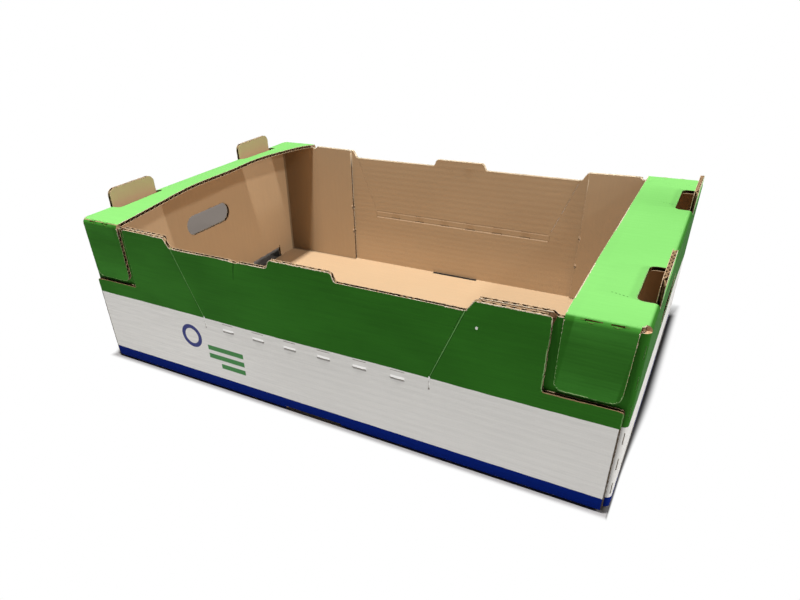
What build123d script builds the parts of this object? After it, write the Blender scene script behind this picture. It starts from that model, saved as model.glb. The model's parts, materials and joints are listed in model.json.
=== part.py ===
"""Open produce tray: one die-cut sheet of single-wall board, folded up and glued.

Frame: millimetres, origin at the middle of the footprint on the floor.
X runs along the tray, Y from front to back, Z up.

Every stretch of the sheet is a section of board, drawn along its outside line with
rounded folds, swept straight and trimmed to the outline that the die cut: the floor
with the two long walls, the floor with the two end walls, the end walls with the
corner flaps that the long walls are glued over, and the end shelves with the flaps
that are glued down in the recesses of the long walls.
"""

import math
import os

from build123d import *

# Board
BOARD = 4.0                      # thickness of the single-wall board
FOLD_IN = 0.6                    # inside radius of every fold
FOLD_OUT = BOARD + FOLD_IN       # outside radius of every fold
KERF = 1.0                       # width of a cut that has opened a little
SEAM = 0.6                       # play where a cut edge meets another layer
PAST = 1.0                       # how far a cutter runs past the board

# Outside sizes
LENGTH = 600.0
DEPTH = 396.0
SHELF_TOP = 178.5
TAB_RISE = 19.5                  # stacking tab above the shelf

HALF_X = LENGTH / 2
HALF_Y = DEPTH / 2
FLAP_Y = HALF_Y - BOARD          # outer face of the corner flaps, inside the long walls
FOLD_X = HALF_X - FOLD_OUT       # where the flat of the floor and the shelf ends, along X
FOLD_Y = HALF_Y - FOLD_OUT       # the same along Y, at the long walls
CORNER_Y = FLAP_Y - FOLD_OUT     # where the flat of an end wall ends, along Y
FOLD_Z = SHELF_TOP - FOLD_OUT    # where the flat of an end wall ends, at the top

# Corner flaps, glued inside the long walls
CORNER_FLAP = 127.5              # their length from the end wall
CORNER_FLAP_X = HALF_X - CORNER_FLAP
CORNER_FLAP_LOW = BOARD + SEAM
CORNER_FLAP_TOP = SHELF_TOP - BOARD - SEAM
NICK_HEIGHTS = (51.0, 89.5)
NICK_DEEP, NICK_TALL = 1.6, 3.0

# End shelves and the flaps folded down from them
SHELF_WIDE = 60.0
SHELF_X = HALF_X - SHELF_WIDE    # free inner edge
SHELF_FLAP_END = HALF_X - 7.0
SHELF_FLAP_TAPER = 2.0           # how much the outer edge of a flap slants in
SHELF_FLAP_LOW = 111.8
SHELF_FLAP_R = 8.0
NOTCH_X, NOTCH_Y, NOTCH_R = 6.8, 5.6, 3.0
SHELF_SLITS = (HALF_X - 41.0, HALF_X - 22.5)
SHELF_SLIT = 9.2

# The left shelf has bowed up: rise of its free edge at shares of its half length
BOW = ((-0.65, 6.2), (-0.4, 10.3), (0.0, 10.8), (0.26, 12.2), (0.52, 9.9), (0.78, 5.9))

# Long walls
WALL_LOW = 165.0                 # low stretches of the top edge
WALL_MID = 174.0                 # raised middle
WALL_HIGH = 175.0                # high stretches beside the shelves
MID_TOP_X, MID_BASE_X = 34.2, 38.6
STEP_TOP_X = CORNER_FLAP_X - 2.5
STEP_BASE_X = STEP_TOP_X - 6.1
CREST_R, DIP_R = 4.0, 2.5        # rounding of the steps, at the top and at the foot
RECESS_X = SHELF_X - 8.4         # recess around the flap of a shelf
RECESS_Z = SHELF_FLAP_LOW - 5.4
WALL_END_X = HALF_X - 5.0        # cut end of a long wall
WALL_FOOT_R = 5.0                # its lower corner

# Stacking tabs, the openings they leave, and the slots that take them on the tray above
TAB_LONG, TAB_R = 69.0, 8.0
TAB_Y1 = HALF_Y - 47.0           # end of a tab that faces the long wall
TAB_Y0 = TAB_Y1 - TAB_LONG
TAB_PLAY = 1.5                   # play at each end of a tab, in its opening and in a slot
OPENING_R, OPENING_IN = 6.0, 18.0
SLOT_Y0, SLOT_Y1 = TAB_Y0 - TAB_PLAY, TAB_Y1 + TAB_PLAY
SLOT_UP, SLOT_IN = TAB_RISE, FOLD_OUT
RELIEF_UP, RELIEF_WIDE = 22.5, 2.0
SIDE_SLOT_X, SIDE_SLOT_IN = 35.0, 8.0

# Hand holes
HAND_LONG, HAND_TALL, HAND_Z = 86.0, 27.0, 116.0

# Display panel in each long wall: still closed, marked out by cuts
PANEL_TOP_X = STEP_BASE_X - 0.5
PANEL_LOW_X = PANEL_TOP_X - 30.5
PANEL_KNEE_Z, PANEL_LOW_Z = 90.5, 78.0
PANEL_CUTS, PANEL_NICK = 3, 2.5
HINGE_PITCH, HINGE_SLIT = 40.4, 15.0
HINGE_ROWS_Z = (88.5, 80.2)

# Cut scores that let the folds bend
SCORE_LEFT = 1.0                 # board left uncut, on the inside of the fold
SCORE_PITCH, SCORE = 24.0, 14.0
CORNER_PITCH, CORNER_SCORE = 26.5, 12.0
CORNER_SCORE_Z, CORNER_SCORES = 25.5, 6


def through(corners, closed):
    """Edges through (u, v, radius) corners; a radius of 0 leaves a corner sharp."""
    edges, legs = [], []
    count = len(corners)
    for i, (u, v, radius) in enumerate(corners):
        here = Vector(u, v)
        if radius == 0:
            legs.append((here, here))
            continue
        back = (Vector(*corners[i - 1][:2]) - here).normalized()
        ahead = (Vector(*corners[(i + 1) % count][:2]) - here).normalized()
        half = math.radians(back.get_angle(ahead)) / 2
        start = here + back * (radius / math.tan(half))
        stop = here + ahead * (radius / math.tan(half))
        middle = here + (back + ahead).normalized() * (radius / math.sin(half) - radius)
        edges.append(ThreePointArc(start, middle, stop))
        legs.append((start, stop))
    for i in range(count if closed else count - 1):
        leave, arrive = legs[i][1], legs[(i + 1) % count][0]
        if (arrive - leave).length > 1e-6:
            edges.append(Line(leave, arrive))
    return edges


def rounded(*corners):
    """Face inside the closed outline through (u, v, radius) corners."""
    return make_face(through(corners, closed=True))


def section(*corners):
    """Section of folded board whose outside line runs through (u, v) corners.

    The board lies to the left of the line. The line may end where its last fold does.
    """
    last = len(corners) - 1
    folds = [(u, v, FOLD_OUT if 0 < i < last else 0.0) for i, (u, v) in enumerate(corners)]
    outside = Wire.combine(through(folds, closed=False))[0]
    return make_face(outside.offset_2d(BOARD, side=Side.LEFT, closed=True))


def seen_from_front(face):
    """A face drawn in X and Z, as a cutter through the whole depth."""
    return extrude(Plane.XZ * face, HALF_Y + PAST, both=True)


def in_front_wall(face):
    """A face drawn in X and Z, as a cutter through the front long wall only."""
    return extrude(Plane.XZ.offset(FLAP_Y) * face, BOARD + PAST)


def both_ends(shapes):
    """The given shapes and their mirror images at the other end."""
    return [*shapes, *(mirror(shape, Plane.YZ) for shape in shapes)]


def both_sides(shapes):
    """The given shapes and their mirror images at the other side."""
    return [*shapes, *(mirror(shape, Plane.XZ) for shape in shapes)]


def spaced(pitch, reach):
    """Middles of a row of cuts, symmetric about 0 and within the reach."""
    count = int(reach // pitch)
    return [(i + 0.5) * pitch for i in range(-count, count)]


def floor_and_long_walls():
    """Floor with the front and back walls, trimmed to the outline of a wall."""
    band = section((-HALF_Y, WALL_HIGH), (-HALF_Y, 0), (HALF_Y, 0), (HALF_Y, WALL_HIGH))
    band = extrude(Plane.YZ * band, WALL_END_X, both=True)
    half = (
        (MID_TOP_X, WALL_MID, CREST_R),
        (MID_BASE_X, WALL_LOW, DIP_R),
        (STEP_BASE_X, WALL_LOW, DIP_R),
        (STEP_TOP_X, WALL_HIGH, CREST_R),
        (RECESS_X, WALL_HIGH, DIP_R),
        (RECESS_X, RECESS_Z, DIP_R),
        (WALL_END_X, RECESS_Z, DIP_R),
        (WALL_END_X, 0, WALL_FOOT_R),
    )
    outline = rounded(*half, *((-x, z, r) for x, z, r in reversed(half)))
    return band & seen_from_front(outline)


def floor_and_end_walls():
    """Floor with the two end walls, up to the fold of the shelves."""
    band = section(
        (-FOLD_X, SHELF_TOP), (-HALF_X, SHELF_TOP), (-HALF_X, 0),
        (HALF_X, 0), (HALF_X, SHELF_TOP), (FOLD_X, SHELF_TOP),
    )
    return extrude(Plane.XZ * band, CORNER_Y, both=True)


def corner_flaps():
    """Right end wall with the two flaps that turn in along the long walls."""
    plan = section(
        (CORNER_FLAP_X, -FLAP_Y), (HALF_X, -FLAP_Y), (HALF_X, FLAP_Y), (CORNER_FLAP_X, FLAP_Y)
    )
    flaps = extrude(Plane.XY.offset(CORNER_FLAP_LOW) * plan, CORNER_FLAP_TOP - CORNER_FLAP_LOW)
    nicks = [Pos(CORNER_FLAP_X, z) * Rectangle(2 * NICK_DEEP, NICK_TALL) for z in NICK_HEIGHTS]
    return flaps - [seen_from_front(nick) for nick in nicks]


def shelf_flap():
    """Flap folded down from the right shelf, glued to the front corner flap."""
    fold = section((-FOLD_Y, SHELF_TOP), (-HALF_Y, SHELF_TOP), (-HALF_Y, SHELF_FLAP_LOW))
    flap = extrude(Plane.YZ.offset(SHELF_X) * fold, FOLD_X - SHELF_X)
    outline = rounded(
        (SHELF_X, SHELF_TOP + PAST, 0),
        (SHELF_X, SHELF_FLAP_LOW, SHELF_FLAP_R),
        (SHELF_FLAP_END - SHELF_FLAP_TAPER, SHELF_FLAP_LOW, SHELF_FLAP_R),
        (SHELF_FLAP_END, SHELF_TOP + PAST, 0),
    )
    return flap & seen_from_front(outline)


def flat_shelf():
    """Right shelf, between the folds of its flaps."""
    plan = Rectangle(FOLD_X - SHELF_X, 2 * FOLD_Y, align=(Align.MIN, Align.CENTER))
    return extrude(Pos(SHELF_X, 0, SHELF_TOP - BOARD) * plan, BOARD)


def bowed_shelf():
    """Left shelf: held straight at its outer fold, its free edge bowed up."""
    rises = ((-1.0, 0.0), *BOW, (1.0, 0.0))
    top = Spline([(-SHELF_X, share * FOLD_Y, SHELF_TOP + rise) for share, rise in rises])
    low = top.moved(Pos(0, 0, -BOARD))
    free = Wire([top, Line(top @ 1, low @ 1), low, Line(low @ 0, top @ 0)])
    held = Plane.YZ.offset(-FOLD_X) * Pos(0, SHELF_TOP - BOARD / 2) * Rectangle(2 * FOLD_Y, BOARD)
    return Solid.make_loft([held.wire(), free], ruled=True)


def stacking_tab():
    """Rear right stacking tab, which carries on the end wall past the shelf."""
    crown = SHELF_TOP + TAB_RISE
    face = rounded(
        (TAB_Y0, FOLD_Z, 0), (TAB_Y1, FOLD_Z, 0), (TAB_Y1, crown, TAB_R), (TAB_Y0, crown, TAB_R)
    )
    return extrude(Plane.YZ.offset(HALF_X - BOARD) * face, BOARD)


def tab_opening():
    """What the rear right stacking tab leaves open in the shelf and its fold."""
    out, depth = HALF_X + PAST, HALF_X - OPENING_IN
    near, far = TAB_Y0 - TAB_PLAY, TAB_Y1 + TAB_PLAY
    plan = rounded((out, near, 0), (out, far, 0), (depth, far, OPENING_R), (depth, near, OPENING_R))
    return extrude(Plane.XY.offset(FOLD_Z) * plan, 2 * TAB_RISE)


def corner_notch():
    """Relief at the front right corner, where the folds of the shelf meet."""
    out, side = HALF_X + PAST, -HALF_Y - PAST
    inner_x, inner_y = HALF_X - NOTCH_X, -HALF_Y + NOTCH_Y
    plan = rounded(
        (inner_x, side, 0), (out, side, 0), (out, inner_y, 0), (inner_x, inner_y, NOTCH_R)
    )
    return extrude(Plane.XY.offset(CORNER_FLAP_TOP) * plan, 2 * FOLD_OUT)


def tab_slot():
    """Slot at the foot of the right end wall, with the relief cut at its rear end."""
    middle = (SLOT_Y0 + SLOT_Y1) / 2
    mouth = Box(2 * SLOT_IN, SLOT_Y1 - SLOT_Y0, 2 * SLOT_UP)
    relief = Box(2 * FOLD_OUT, RELIEF_WIDE, 2 * RELIEF_UP)
    return Pos(HALF_X, middle, 0) * mouth + Pos(HALF_X, SLOT_Y1 - RELIEF_WIDE / 2, 0) * relief


def side_slot():
    """Slot in the middle of the front bottom fold."""
    return Pos(0, -HALF_Y, 0) * Box(2 * SIDE_SLOT_X, 2 * SIDE_SLOT_IN, 2 * FOLD_OUT)


def panel_side():
    """Cuts at the right side of the front display panel."""
    low, high = Vector(PANEL_LOW_X, PANEL_KNEE_Z), Vector(PANEL_TOP_X, WALL_LOW + BOARD)
    side = high - low
    piece = Rectangle(side.length / PANEL_CUTS - PANEL_NICK, KERF)
    lean = math.degrees(math.atan2(side.Y, side.X))
    cuts = []
    for i in range(PANEL_CUTS):
        middle = low + side * ((i + 0.5) / PANEL_CUTS)
        cuts.append(Pos(middle.X, middle.Y) * Rot(0, 0, lean) * piece)
    knee = Rectangle(KERF, PANEL_KNEE_Z - PANEL_LOW_Z - PANEL_NICK, align=(Align.CENTER, Align.MIN))
    cuts.append(Pos(PANEL_LOW_X, PANEL_LOW_Z) * knee)
    return [in_front_wall(cut) for cut in cuts]


def panel_hinge():
    """Two rows of slits along the hinge of the front display panel."""
    slit = Rectangle(HINGE_SLIT, KERF)
    middles = spaced(HINGE_PITCH, PANEL_LOW_X)
    return [in_front_wall(Pos(x, z) * slit) for x in middles for z in HINGE_ROWS_Z]


def score(length):
    """Cut score along X in a fold whose outside faces down and to the front."""
    root = Plane((0, 0, 0), x_dir=(1, 0, 0), z_dir=(0, -1, -1)).offset(FOLD_IN + SCORE_LEFT)
    return extrude(root * Rectangle(length, KERF), BOARD)


def long_scores():
    """Cut scores of the front bottom fold, clear of the slot in its middle."""
    clear, reach = SIDE_SLOT_X + SCORE / 2, WALL_END_X - WALL_FOOT_R
    places = [x for x in spaced(SCORE_PITCH, reach) if abs(x) > clear]
    return [Pos(x, -FOLD_Y, FOLD_OUT) * score(SCORE) for x in places]


def end_scores():
    """Cut scores of the right bottom fold, between its two slots."""
    turned = Rot(0, 0, 90) * score(SCORE)
    return [Pos(FOLD_X, y, FOLD_OUT) * turned for y in spaced(SCORE_PITCH, SLOT_Y0 - SCORE / 2)]


def corner_scores():
    """Cut scores of the upright fold at the front right corner."""
    upright = Rot(0, -90, 0) * score(CORNER_SCORE)
    heights = (CORNER_SCORE_Z + CORNER_PITCH * i for i in range(CORNER_SCORES))
    return [Pos(FOLD_X, -CORNER_Y, z) * upright for z in heights]


def shelf_slits():
    """Slits in the fold between the right shelf and its front flap."""
    turned = Rot(-90, 0, 0) * score(SHELF_SLIT)
    return [Pos(x, -FOLD_Y, FOLD_Z) * turned for x in SHELF_SLITS]


def hand_hole():
    """Hand hole through the right end wall."""
    hole = Plane.YZ.offset(HALF_X - FOLD_OUT) * Pos(0, HAND_Z) * SlotOverall(HAND_LONG, HAND_TALL)
    return extrude(hole, 2 * FOLD_OUT)


def tray():
    """The whole sheet, folded and glued."""
    sheet = floor_and_long_walls() + floor_and_end_walls() + both_ends([corner_flaps()])
    sheet += [flat_shelf(), bowed_shelf(), *both_ends(both_sides([shelf_flap()]))]
    panel = [*both_ends(panel_side()), *panel_hinge()]
    sheet -= both_sides([side_slot(), *panel, *long_scores()])
    sheet -= both_ends([hand_hole(), *end_scores()])
    corner = [tab_opening(), tab_slot(), corner_notch(), *corner_scores(), *shelf_slits()]
    sheet -= both_ends(both_sides(corner))
    sheet += both_ends(both_sides([stacking_tab()]))
    return sheet.solid()


os.makedirs("parts", exist_ok=True)
export_step(tray(), "parts/folded_tray.step")
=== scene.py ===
import json
import logging
import math
from dataclasses import dataclass, field
from enum import IntEnum
from typing import Any, Callable, Iterable

import bmesh
import bpy
from mathutils import Matrix, Vector, noise

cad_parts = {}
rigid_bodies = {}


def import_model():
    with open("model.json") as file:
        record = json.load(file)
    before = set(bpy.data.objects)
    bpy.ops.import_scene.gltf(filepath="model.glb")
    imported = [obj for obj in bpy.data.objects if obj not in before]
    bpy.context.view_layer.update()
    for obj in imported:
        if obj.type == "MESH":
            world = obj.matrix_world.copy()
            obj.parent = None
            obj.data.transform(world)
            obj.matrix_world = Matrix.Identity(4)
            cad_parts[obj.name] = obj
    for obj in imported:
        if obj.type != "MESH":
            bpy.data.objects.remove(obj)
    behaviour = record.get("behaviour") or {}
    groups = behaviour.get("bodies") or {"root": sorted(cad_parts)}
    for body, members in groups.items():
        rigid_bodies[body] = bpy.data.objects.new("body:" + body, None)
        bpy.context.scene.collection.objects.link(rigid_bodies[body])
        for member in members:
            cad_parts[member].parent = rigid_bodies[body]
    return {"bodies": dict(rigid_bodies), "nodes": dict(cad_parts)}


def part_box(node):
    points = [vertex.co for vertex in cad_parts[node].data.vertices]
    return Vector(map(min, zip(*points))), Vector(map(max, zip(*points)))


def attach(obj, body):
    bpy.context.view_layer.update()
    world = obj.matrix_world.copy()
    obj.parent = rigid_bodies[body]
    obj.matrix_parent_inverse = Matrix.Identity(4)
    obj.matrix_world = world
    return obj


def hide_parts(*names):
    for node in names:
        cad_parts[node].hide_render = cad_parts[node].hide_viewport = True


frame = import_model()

LOG = logging.getLogger("tray")
MM = 0.001
NODE = "folded_tray"
Colour = tuple[float, float, float]

# Planes in millimetres. The long walls are beyond WALL_Y and their outer liners beyond LINER_Y, the
# corner flaps are beyond FLAP_Y, and the tops of the shelves are above SHELF_Z.
WALL_Y = 190.0
LINER_Y = 195.8
FLAP_Y = 186.0
SHELF_Z = 177.0

# Distance in millimetres within which a point is taken to be on a plane.
NEAR = 0.05


class Finish(IntEnum):
    """Finishes of the folded sheet, in the order of its material slots."""

    PRINTED = 0
    KRAFT = 1
    CORE = 2
    RIM = 3
    SLIT = 4


class Panel(IntEnum):
    """Stretches of the sheet, by the way that their flutes run."""

    FLAT = 0
    LONG_WALL = 1
    END_WALL = 2
    CORNER_FLAP = 3
    LONG_FOLD = 4
    END_FOLD = 5
    CORNER_FOLD = 6
    NONE = 7


class Axis(IntEnum):
    """Axes of the frame."""

    X = 0
    Y = 1
    Z = 2


@dataclass(frozen=True)
class TraySizes:
    """Sizes of the tray in millimetres; the outer ones come from the frame.

    Args:
        half_x: half the length, over the end walls.
        half_y: half the depth, over the long walls.
        tab_top: height of the stacking tabs.
        board: thickness of the board.
        liner: thickness of each of its two liners.
        fold_in: inside radius of every fold.
        tab_rise: how far the stacking tabs stand above the shelves.
        shelf_wide: width of a shelf.
        corner_flap: how far the corner flaps reach in from the ends.
        recess_gap: from a shelf's free edge to the side of the corner recess beside it.
        wall_low: height of the low stretches of the long walls.
        panel_reach: half the width of the display panel, at the rim.
        panel_low: height that its cuts stay above.
        knee_x: half its width at the hinge.
        hinge_rows: heights of the two rows of slits in its hinge.
        hinge_pitch: distance between these slits.
        shelf_slits: middles of the slits in the shelf flaps' folds, along X.
        shelf_slit: length of each of them.
        flute_pitch: length of one wave of the medium.
    """

    half_x: float
    half_y: float
    tab_top: float
    board: float = 4.0
    liner: float = 0.45
    fold_in: float = 0.6
    tab_rise: float = 19.5
    shelf_wide: float = 60.0
    corner_flap: float = 127.5
    recess_gap: float = 8.4
    wall_low: float = 165.0
    panel_reach: float = 163.5
    panel_low: float = 76.0
    knee_x: float = 133.0
    hinge_rows: tuple[float, float] = (80.2, 88.5)
    hinge_pitch: float = 40.4
    shelf_slits: tuple[float, float] = (259.0, 277.5)
    shelf_slit: float = 9.2
    flute_pitch: float = 7.8

    @classmethod
    def of_box(cls, low: Vector, high: Vector) -> "TraySizes":
        """Sizes of the tray whose CAD box has the given corners, in metres."""
        reach = (high - low) / (2 * MM)
        return cls(half_x=reach.x, half_y=reach.y, tab_top=high.z / MM)

    @property
    def shelf_top(self) -> float:
        """Height of the flat shelf."""
        return self.tab_top - self.tab_rise

    @property
    def fold_out(self) -> float:
        """Outside radius of every fold."""
        return self.board + self.fold_in

    @property
    def fold_x(self) -> float:
        """Where the flat of the floor and the shelves ends, along X."""
        return self.half_x - self.fold_out

    @property
    def fold_y(self) -> float:
        """Where the flat of the floor and the shelves ends, along Y."""
        return self.half_y - self.fold_out

    @property
    def flap_y(self) -> float:
        """Outer face of the corner flaps."""
        return self.half_y - self.board

    @property
    def corner_y(self) -> float:
        """Where the flat of an end wall ends, along Y."""
        return self.flap_y - self.fold_out

    @property
    def fold_z(self) -> float:
        """Where the flat of an end wall ends, at the top."""
        return self.shelf_top - self.fold_out

    @property
    def shelf_x(self) -> float:
        """Free inner edge of a shelf."""
        return self.half_x - self.shelf_wide

    @property
    def flap_end(self) -> float:
        """Free end of the corner flaps, along X."""
        return self.half_x - self.corner_flap

    @property
    def flap_top(self) -> float:
        """Top edge of the corner flaps, as they are drawn."""
        return self.shelf_top - self.board - self.fold_in


class Term:
    """A shader value that Python's operators work on.

    Args:
        kit: the node kit of the material.
        socket: the output socket that carries the value.
    """

    def __init__(self, kit: "NodeKit", socket: bpy.types.NodeSocket) -> None:
        self.kit = kit
        self.socket = socket

    def _math(self, operation: str, *values: Any) -> "Term":
        """A Math node with the given operation on the given values."""
        return self.kit.value("ShaderNodeMath", {"operation": operation}, dict(enumerate(values)))

    def __add__(self, other: Any) -> "Term":
        """Sum."""
        return self._math("ADD", self, other)

    def __radd__(self, other: Any) -> "Term":
        """Sum, number first."""
        return self._math("ADD", other, self)

    def __sub__(self, other: Any) -> "Term":
        """Difference."""
        return self._math("SUBTRACT", self, other)

    def __rsub__(self, other: Any) -> "Term":
        """Difference, number first."""
        return self._math("SUBTRACT", other, self)

    def __mul__(self, other: Any) -> "Term":
        """Product."""
        return self._math("MULTIPLY", self, other)

    def __rmul__(self, other: Any) -> "Term":
        """Product, number first."""
        return self._math("MULTIPLY", other, self)

    def __truediv__(self, other: Any) -> "Term":
        """Quotient."""
        return self._math("DIVIDE", self, other)

    def __gt__(self, other: Any) -> "Term":
        """1 where the value is greater."""
        return self._math("GREATER_THAN", self, other)

    def __lt__(self, other: Any) -> "Term":
        """1 where the value is less."""
        return self._math("LESS_THAN", self, other)

    def __abs__(self) -> "Term":
        """Magnitude."""
        return self._math("ABSOLUTE", self)

    def __pow__(self, other: Any) -> "Term":
        """Power."""
        return self._math("POWER", self, other)

    def sine(self) -> "Term":
        """Sine of the value in radians."""
        return self._math("SINE", self)

    def fraction(self) -> "Term":
        """What follows the decimal point."""
        return self._math("FRACT", self)

    def root(self) -> "Term":
        """Square root."""
        return self._math("SQRT", self)

    def most(self, other: Any) -> "Term":
        """The greater of two values."""
        return self._math("MAXIMUM", self, other)

    def ramp(self, start: float, stop: float) -> "Term":
        """Smooth step.

        Args:
            start: value up to which it is 0.
            stop: value from which it is 1.

        Returns:
            The step.
        """
        return self.kit.value(
            "ShaderNodeMapRange",
            {"interpolation_type": "SMOOTHSTEP"},
            {"Value": self, "From Min": start, "From Max": stop},
        )

    def within(self, low: float, high: float, soft: float) -> "Term":
        """1 between low and high, with edges as soft as given."""
        half = soft / 2
        return self.ramp(low - half, low + half) * (1 - self.ramp(high - half, high + half))


class NodeKit:
    """Adds nodes to a tree.

    Args:
        tree: a shader or geometry node tree.
    """

    def __init__(self, tree: bpy.types.NodeTree) -> None:
        """Keeps the tree."""
        self.tree = tree

    def node(self, kind: str, settings: dict[str, Any], inputs: dict[Any, Any]) -> bpy.types.Node:
        """Adds a node.

        Args:
            kind: the node's type.
            settings: its properties, set first.
            inputs: values or links by socket name or number.

        Returns:
            The node.
        """
        made = self.tree.nodes.new(kind)
        for name, value in settings.items():
            setattr(made, name, value)
        for name, value in inputs.items():
            socket = made.inputs[name]
            if isinstance(value, Term):
                self.tree.links.new(value.socket, socket)
            elif isinstance(value, bpy.types.NodeSocket):
                self.tree.links.new(value, socket)
            elif socket.type == "RGBA" and len(value) == 3:
                socket.default_value = (*value, 1.0)
            else:
                socket.default_value = value
        return made

    def value(
        self, kind: str, settings: dict[str, Any], inputs: dict[Any, Any], output: Any = 0
    ) -> Term:
        """The named output of a new node, as a term."""
        return Term(self, self.node(kind, settings, inputs).outputs[output])

    def axes(self, vector: Any) -> tuple[Term, Term, Term]:
        """The three parts of a vector."""
        split = self.node("ShaderNodeSeparateXYZ", {}, {0: vector})
        return tuple(Term(self, socket) for socket in split.outputs[:3])

    def vector(self, x: Any, y: Any, z: Any) -> Term:
        """A vector of three parts."""
        return self.value("ShaderNodeCombineXYZ", {}, {0: x, 1: y, 2: z})

    def mix(self, share: Any, under: Any, over: Any) -> Term:
        """Colour that goes from under to over as share goes from 0 to 1."""
        settings = {"data_type": "RGBA", "clamp_factor": True}
        return self.value("ShaderNodeMix", settings, {0: share, 6: under, 7: over}, output=2)

    def mottle(self, place: Any, scale: float, detail: float = 2.0, rough: float = 0.5) -> Term:
        """Noise from 0 to 1 at a place."""
        inputs = {"Vector": place, "Scale": scale, "Detail": detail, "Roughness": rough}
        return self.value("ShaderNodeTexNoise", {}, inputs)


Flat = tuple[Term, Term]
Place = tuple[Term, Term, Term]


def toned(colour: Colour, share: float) -> Colour:
    """A colour made darker, or paler where the share is above 1."""
    return tuple(share * part for part in colour)


def in_mm(place: Place) -> Place:
    """A place in the frame, in millimetres."""
    return tuple(part / MM for part in place)


def apart(run: Term, rise: Term) -> Term:
    """Distance to a point, from the two parts of the way there."""
    return (run ** 2 + rise ** 2).root()


def fibres(
    kit: NodeKit, flat: Flat, along: float, across: float, detail: float = 3.0, rough: float = 0.6
) -> Term:
    """Noise that is stretched along the flutes.

    Args:
        kit: adds the nodes.
        flat: place in the flat sheet, in metres.
        along: how fine the noise is along the flutes, per metre.
        across: how fine it is across them.
        detail: number of finer layers of noise.
        rough: strength of these layers.

    Returns:
        The noise, 0 to 1.
    """
    return kit.mottle(kit.vector(flat[0] * along, flat[1] * across, 0.0), 1.0, detail, rough)


def washboard(kit: NodeKit, flat: Flat, pitch: float) -> Term:
    """Flutes that show through the liner, with a fine grain of fibres.

    Args:
        kit: adds the nodes.
        flat: place in the flat sheet, in metres.
        pitch: length of one wave, in millimetres.

    Returns:
        The height of the surface, 0 to 1.
    """
    flute = (flat[1] * (2 * math.pi / (pitch * MM))).sine() * 0.5 + 0.5
    return flute * 0.45 + fibres(kit, flat, 300, 1400) * 0.35


@dataclass(frozen=True)
class BoardFinish:
    """What the finishes of the board share.

    Args:
        name: name of the material.
        roughness: roughness of the surface.
        gloss: strength of its reflections.
    """

    name: str
    roughness: float
    gloss: float

    def colour(self, kit: NodeKit, flat: Flat, place: Place) -> Any:
        """Colour over the surface.

        Args:
            kit: adds the nodes.
            flat: place in the flat sheet, along and across the flutes, in metres.
            place: place in the frame, in metres.

        Returns:
            The colour.
        """
        raise NotImplementedError

    def relief(self, kit: NodeKit, flat: Flat) -> tuple[Any, float]:
        """Height over the surface, and the bump's depth in metres; a depth of 0 is no bump."""
        return 0.5, 0.0

    def material(self) -> bpy.types.Material:
        """Makes the material.

        Returns:
            The finished material.
        """
        made = bpy.data.materials.new(self.name)
        made.use_nodes = True
        made.node_tree.nodes.clear()
        kit = NodeKit(made.node_tree)
        lay = kit.node("ShaderNodeUVMap", {"uv_map": "flat"}, {})
        along, across, _ = kit.axes(lay.outputs[0])
        coordinate = kit.node("ShaderNodeTexCoord", {}, {})
        place = kit.axes(coordinate.outputs["Object"])
        inputs = {
            "Base Color": self.colour(kit, (along, across), place),
            "Roughness": self.roughness,
            "Specular IOR Level": self.gloss,
        }
        height, depth = self.relief(kit, (along, across))
        if depth:
            bump = kit.node("ShaderNodeBump", {}, {"Height": height, "Distance": depth})
            inputs["Normal"] = bump.outputs[0]
        shader = kit.node("ShaderNodeBsdfPrincipled", {}, inputs)
        kit.node("ShaderNodeOutputMaterial", {}, {0: shader.outputs[0]})
        return made


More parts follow.
